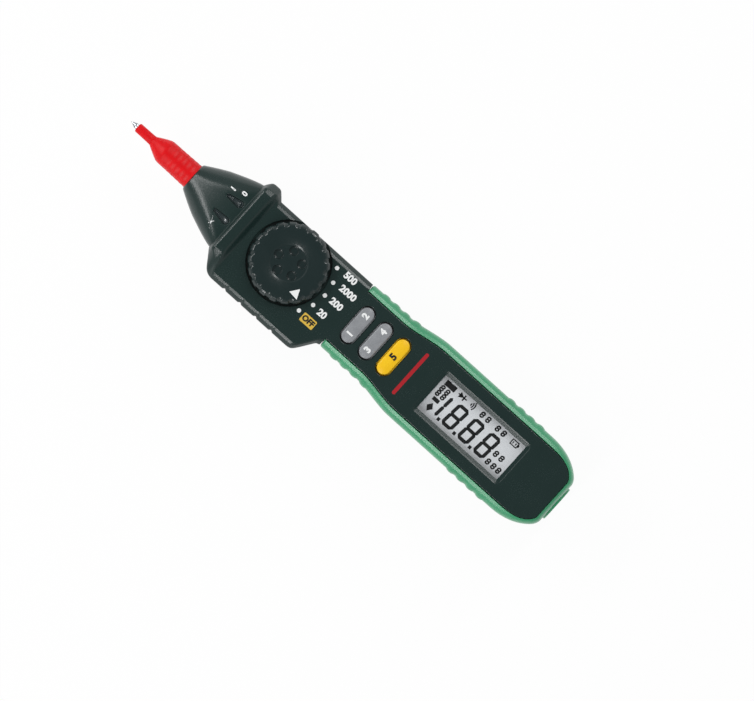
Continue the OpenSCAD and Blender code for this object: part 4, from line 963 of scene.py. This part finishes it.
def lay(piece):
    """Let a printed mark follow the nose under it."""
    middle_z = sum(v.co.z for v in piece.data.vertices) / len(piece.data.vertices)
    for v in piece.data.vertices:
        v.co.z += nose_top(v.co.x / mm, v.co.y / mm) * mm + ink_lift * mm - middle_z
    return piece


def stamp(piece, colour):
    """Let a printed mark ride on the case."""
    dress(piece, "meter", colour)


white_ink = ink("white_ink", srgb(244, 246, 246))
yellow_ink = ink("yellow_ink", srgb(222, 184, 72))
dark_ink = ink("dark_ink", srgb(22, 26, 28))
red_ink = ink("red_ink", srgb(176, 22, 34))

dots = [turned([(dot_ring, 0.0)], a)[0] for a in range(-126, -53, 18)]
stamp(solid("switch_dots", *[plate(round_outline(dot_r, 32), p, face_z) for p in dots]), white_ink)
range_words = [("20", (-5.8, -21.3)), ("200", (0.3, -22.8)), ("2000", (6.1, -23.3)), ("500", (10.7, -20.4))]
for k, (text, at) in enumerate(range_words):
    stamp(words(f"range_{k + 1}", text, at, 3.5, -90, face_z, 0.045), white_ink)
arrow = [(11.3 + x, y) for x, y in [turned([(2.31, 0.0)], a)[0] for a in (0, 120, -120)]]
dress(solid("arrow", flat(turned(arrow, rest_angle), knob_top)), "dial", white_ink)
off_at = (-11.0, -19.3)
stamp(solid("off_plate", plate(block_outline(3.6, 6.0, 0.5), off_at, face_z)), yellow_ink)
stamp(words("off_word", "OFF", off_at, 2.9, -90, face_z + ink_thick), dark_ink)
bolt_scale = 1.35
bolt = [(0.55, 1.8), (-0.85, -0.3), (-0.15, -0.2), (-0.55, -1.8), (0.85, 0.3), (0.15, 0.2)]
bolt = turned([(x * bolt_scale, y * bolt_scale) for x, y in bolt], picture_turn, (-7.75, 31.0))
stamp(lay(solid("bolt_mark", flat(bolt, face_z))), white_ink)
stamp(lay(words("lamp_one", "1", (6.6, 32.9), 2.8, 0, face_z)), white_ink)
stamp(lay(words("lamp_nought", "0", (8.0, 28.6), 2.8, 0, face_z, 0.04)), white_ink)
stamp(solid("red_rule", plate(slot_outline(19.5, 1.4, 8), (-0.4, -59.7), face_z)), red_ink)


# Keys: two grey rockers and one yellow key, moulded in hard plastic with a crowned top and rounded
# edges, each on its own flange under the face, with a short pivot or a stem on the rubber mat.
key_top = face_z + 1.2
key_round = 0.6
stem_x = 5.2
key_stem_r = 1.2
flange_t = 1.0
rocker_z = (18.58, 22.5)
sense_z = (19.02, 23.08)


def key_form(y, z, stems):
    """Cap and stems of one key; z is where its stems end and where its flange ends."""
    foot, base = z
    edge = [(key_top - 0.25 - key_round * (1 - sin(a)), -key_round * (1 - cos(a)))
            for a in quarter(6)]
    crown = [(key_top - 0.12, -1.2), (key_top - 0.03, -1.9), (key_top, -key_w / 2 + 0.05)]
    flange = [(base - flange_t, 0.45), (base, 0.45), (base, 0.0)]
    cap = stack(slot_outline(key_len, key_w), flange + edge + crown, at=(0, y))
    return [cap] + [stack(round_outline(key_stem_r, 24), [(foot, 0), (base - flange_t / 2, 0)], at=(x, y))
                    for x in stems]


def key_finish(name, low, high, rough):
    """Hard key plastic with fine flecks."""
    material, nodes = start(name, {"Specular IOR Level": 0.5})
    fleck = noise(nodes, 0.35, 4.0)
    cloud = noise(nodes, 3.0)
    feed(nodes, Base_Color=nodes.tint(fleck * 0.6 + cloud * 0.4, low, high),
         Normal=relief(nodes, fleck, 0.012), Roughness=fleck * 0.2 + (rough - 0.1))
    return material


grey = key_finish("grey_key", srgb(106, 109, 113), srgb(172, 175, 179), 0.32)
yellow = key_finish("yellow_key", srgb(246, 184, 8), srgb(255, 214, 26), 0.36)
rockers = ("upper_rocker", "lower_rocker")
for body, y in zip(rockers, key_ys):
    cap = solid(body + "_cap", *key_form(y, rocker_z, (-stem_x, stem_x)))
    dress(cap, body, grey, [body + "_key"])
dress(solid("sense_cap", *key_form(key_ys[2], sense_z, (0.0,))), "sense", yellow, ["sense_key"])
for k, text in enumerate("1234"):
    at = ((-4.3, 4.3)[k % 2], key_ys[k // 2])
    number = words("key_number_" + text, text, at, 3.5, 0, key_top - 0.02, 0.055)
    dress(number, rockers[k // 2], white_ink)
dress(words("key_number_5", "5", (0, key_ys[2]), 3.7, 0, key_top), "sense", dark_ink)


# Display: a clear acrylic window in a shallow bezel, and behind it the grey reflective panel
# with its dark segments: one and three eights with their points, and a row of small plain signs.
window_glass, nodes = start("clear_window", {
    "Base Color": srgb(84, 90, 92), "Alpha": 0.03, "Specular IOR Level": 0.5})
smear = noise(nodes, 6.0)
feed(nodes, Roughness=smear * 0.08 + 0.03)
edge_curve = [(lens_top_z - 0.25 + 0.25 * sin(a), -0.25 * (1 - cos(a))) for a in quarter(4)]
window_pane = solid("window_pane", stack(
    block_outline(window_w + 2 * lens_margin, window_len + 2 * lens_margin, 0.4),
    [(lens_z, -0.1), (lens_z + 0.1, 0.0)] + edge_curve, at=(0, window_y)))
dress(window_pane, "meter", window_glass, ["display_window"])

panel_grey, nodes = start("lcd_panel", {"Specular IOR Level": 0.3})
cells = nodes.node("ShaderNodeTexVoronoi", {}, {"Vector": place(nodes), "Scale": 1 / (0.45 * mm)})
haze = noise(nodes, 5.0)
feed(nodes, Base_Color=nodes.tint(cells * 0.6 + haze * 0.4, srgb(234, 237, 240), srgb(220, 224, 228)),
     Roughness=haze * 0.1 + 0.3)
panel_z = 22.0
slant = tan(radians(5))
large = (8.85, 3.95, 1.3)
small = (1.9, 1.2, 0.6)
figure_x = -1.2
sign_x = 6.1


def segment(ends, width):
    """One pointed bar between two ends."""
    (x0, y0), (x1, y1) = ends
    run = hypot(x1 - x0, y1 - y0)
    ux, uy = (x1 - x0) / run, (y1 - y0) / run
    half = width / 2
    shape = [(0, 0), (half, half), (run - half, half), (run, 0), (run - half, -half), (half, -half)]
    return flat([(x0 + ux * a - uy * b, y0 + uy * a + ux * b) for a, b in shape], panel_z)


def digit(p, bars, size, mid):
    """Seven-segment figure, read from the tip to the tail; p is its place from the tip."""
    high, wide, width = size
    h, w, over = high / 2, wide / 2, width * 0.14
    out = w + over
    ends = {"a": ((-out, h), (out, h)), "g": ((-out, 0), (out, 0)), "d": ((-out, -h), (out, -h)),
            "f": ((-w, h + over), (-w, -over)), "b": ((w, h + over), (w, -over)),
            "e": ((-w, over), (-w, -h - over)), "c": ((w, over), (w, -h - over))}
    return [segment([(mid + v, tip_y - p - u - v * slant) for u, v in ends[bar]], width) for bar in bars]


def sign(width, length, x, p, corner_r=0.05):
    """Small printed block on the panel; p is its place from the tip."""
    return plate(block_outline(width, length, corner_r), (x, tip_y - p), panel_z)


figures = digit(151.7, "bc", large, figure_x)
for p in (159.3, 167.0, 174.7):
    figures += digit(p, "abcdefg", large, figure_x)
figures += [sign(1.3, 1.2, -5.8, p, 0.1) for p in (155.2, 162.9, 170.5)]
small_rows = [(-1.2, (179.2, 181.9)), (-5.2, (178.9, 181.5, 183.9)), (1.2, (148.8, 151.2)),
              (3.5, (148.8, 151.2)), (sign_x, (166.1, 168.9, 173.6, 176.4))]
for x, row in small_rows:
    for p in row:
        figures += digit(p, "abcdefg", small, x)
diamond = [(-6.4, 0), (-4.6, 1.35), (-2.8, 0), (-4.6, -1.35)]
triangle = [(sign_x - 1.2, tip_y - 155.0), (sign_x + 1.2, tip_y - 155.0), (sign_x, tip_y - 157.0)]
marks = [flat([(x, tip_y - 149.9 + y) for x, y in diamond], panel_z), sign(1.5, 2.9, -1.25, 149.9),
         sign(2.2, 4.7, sign_x, 150.6), flat(triangle, panel_z), sign(2.4, 0.55, sign_x, 157.1),
         sign(0.5, 3.9, sign_x, 156.4)]
for radius in (0.7, 1.5, 2.3):
    arc = [radians(a) for a in range(-130, -45, 12)]
    sides = [(radius + 0.24, a) for a in arc] + [(radius - 0.24, a) for a in arc[::-1]]
    marks.append(flat([(sign_x + r * cos(a), tip_y - 159.9 + r * sin(a)) for r, a in sides], panel_z))
cell_bars = [(0.4, 3.2, 1.0, 0), (0.4, 3.2, -1.0, 0), (2.4, 0.4, 0, 1.4), (2.4, 0.4, 0, -1.4),
             (1.0, 0.5, 0, -1.8), (0.9, 0.4, 0, 0.6), (0.9, 0.4, 0, -0.6)]
marks += [sign(width, length, sign_x + dx, 181.7 - dy) for width, length, dx, dy in cell_bars]
segment_ink = ink("segment_ink", srgb(10, 12, 14))
dress(solid("segments", *figures, *marks), "meter", segment_ink)


def clad(names, material):
    """Give CAD nodes that stay in view a better finish."""
    for name in names:
        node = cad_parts[name]
        node.data.materials.clear()
        node.data.materials.append(material)


clad(["display_panel"], panel_grey)


# Lamp windows: two drops of smoked clear plastic snapped into the nose. Under the left one sits
# the voltage lamp, and under the right one the two lamps of the logic test.
smoke, nodes = start("lamp_lens", {"Specular IOR Level": 0.6, "Coat Weight": 0.3, "Coat Roughness": 0.06})
cloudy = noise(nodes, 1.2)
feed(nodes, Base_Color=nodes.tint(cloudy, srgb(30, 40, 42), srgb(52, 64, 66)), Roughness=cloudy * 0.1 + 0.12)
lens_levels = [(0.0, 0, 17.0), (0.0, 0.5, None), (-0.08, 0.36, None), (-0.2, 0.3, None), (-0.36, 0.42, None),
               (-0.46, 0.7, None), (-0.57, 0.8, None)]


def lamp_head(x, share, radius):
    """Dome of a lamp that shows in its window."""
    turn = radians(copysign(lamp_splay, x))
    along = lamp_len * share
    at = (x - along * sin(turn), lamp_y + along * cos(turn))
    top = nose_top(*at) - 0.3
    levels = [(top - 1.2, 0.0)]
    levels += [(top - 0.6 + 0.6 * sin(a), -radius * (1 - cos(a) * 0.999)) for a in quarter(6)]
    return stack(round_outline(radius, 28), levels, at=at)


for name, node, x, heads in (("voltage_lens", "voltage_lamp_window", lamp_xs[0], [(0.6, 0.42)]),
                             ("logic_lens", "logic_lamp_windows", lamp_xs[1], [(0.02, 0.85), (0.48, 0.7)])):
    lens_piece = solid(name, on_nose(x, lens_levels), *[lamp_head(x, *head) for head in heads])
    dress(lens_piece, "meter", smoke, [node], sharp=50)


# Battery cover: a flat plate in the case plastic, chamfered all round, with a ribbed thumb pad
# beside its screw. The plated screws sit in wells in the back.
pad_grooves = [stack(slot_outline(12.0, 0.8, 8), [(-1, 0), (0.3, -0.15)], at=(0, cover_screw_y - 6 - 1.8 * k))
               for k in range(5)]
head_seat = stack(round_outline(1.85, 32), [(-1, 0.15), (0, 0.15), (0.15, 0), (1, 0)], at=(0, cover_screw_y))
cover_cuts = [cut("head", head_seat),
              cut("shank", stack(cover_bore, [(-1, 0), (3, 0)], at=(0, cover_screw_y))),
              cut("grooves", *pad_grooves)]
cover = solid("cover", span_block((-cover_half, cover_half), cover_y, 1.6,
                                  [(0.0, -0.25), (0.06, -0.08), (0.25, 0.0), (cover_t, 0.0)]))
dress(carve(cover, *cover_cuts), "meter", case_plastic, ["battery_cover"])


def metal(name, spot, detail, low, high, rough):
    """Plated or bare metal, a little uneven in colour and gloss."""
    material, nodes = start(name, {"Metallic": 1.0})
    patch = noise(nodes, spot, detail)
    feed(nodes, Base_Color=nodes.tint(patch, low, high), Roughness=patch * 0.2 + rough)
    return material


clad(["battery_cover_screw", "case_screws", "board_screws", "dial_screw", "detent_balls", "detent_springs",
      "cell_springs", "cell_plates", "fuse_clips"],
     metal("plated_steel", 0.5, 4.0, srgb(168, 170, 174), srgb(206, 208, 210), 0.22))
for name in ("battery_cover_screw", "case_screws"):
    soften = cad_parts[name].modifiers.new("soften", "BEVEL")
    soften.width = 0.12 * mm
    soften.segments = 2
    soften.limit_method = "ANGLE"


# Tail jack: a black moulded shroud pressed into the tail, with a sprung brass contact in it
# for the plug of the common lead. The other contacts and strips share the same brass.
clad(["jack_body", "display_frame", "buzzer", "measuring_chip"],
     moulded("socket_black", srgb(20, 21, 22), 0.35, 0.3, 0.008, specular=0.4))
clad(["com_contact", "com_strap", "probe_contact", "wiper_contacts", "sensing_plate"],
     metal("contact_brass", 1.5, 3.0, srgb(176, 140, 70), srgb(214, 182, 104), 0.24))


# Inside: a green board with its parts, the rotor and the rubber pieces, the lamps, the fuse and
# the cells, each in the finish of the real one.
board, nodes = start("solder_mask", {"Specular IOR Level": 0.5})
weave = nodes.node("ShaderNodeTexVoronoi", {}, {"Vector": place(nodes), "Scale": 1 / (0.8 * mm)})
feed(nodes, Base_Color=nodes.tint(weave, srgb(14, 82, 48), srgb(26, 112, 66)), Roughness=weave * 0.15 + 0.25)
clad(["main_board"], board)
clad(["key_mat", "zebra_strips"], moulded("soft_silicone", srgb(88, 92, 96), 0.6, 0.4, 0.01))
clad(["dial_rotor"], moulded("natural_acetal", srgb(216, 210, 196), 0.45, 0.4, 0.01, shade=0.05))
clad(["board_parts"], moulded("part_ceramic", srgb(120, 110, 98), 0.5, 0.5, 0.01, shade=0.25))
clad(["voltage_lamp"], moulded("red_epoxy", srgb(210, 60, 50), 0.22, 0.6, 0.004, shade=0.08))
clad(["logic_lamps"], moulded("green_epoxy", srgb(70, 180, 90), 0.22, 0.6, 0.004, shade=0.08))
clad(["fuse"], moulded("fuse_glass", srgb(200, 206, 212), 0.12, 0.8, 0.003, shade=0.05))
clad(["battery_cells"], moulded("cell_jacket", srgb(48, 92, 156), 0.28, 0.8, 0.006, shade=0.06))
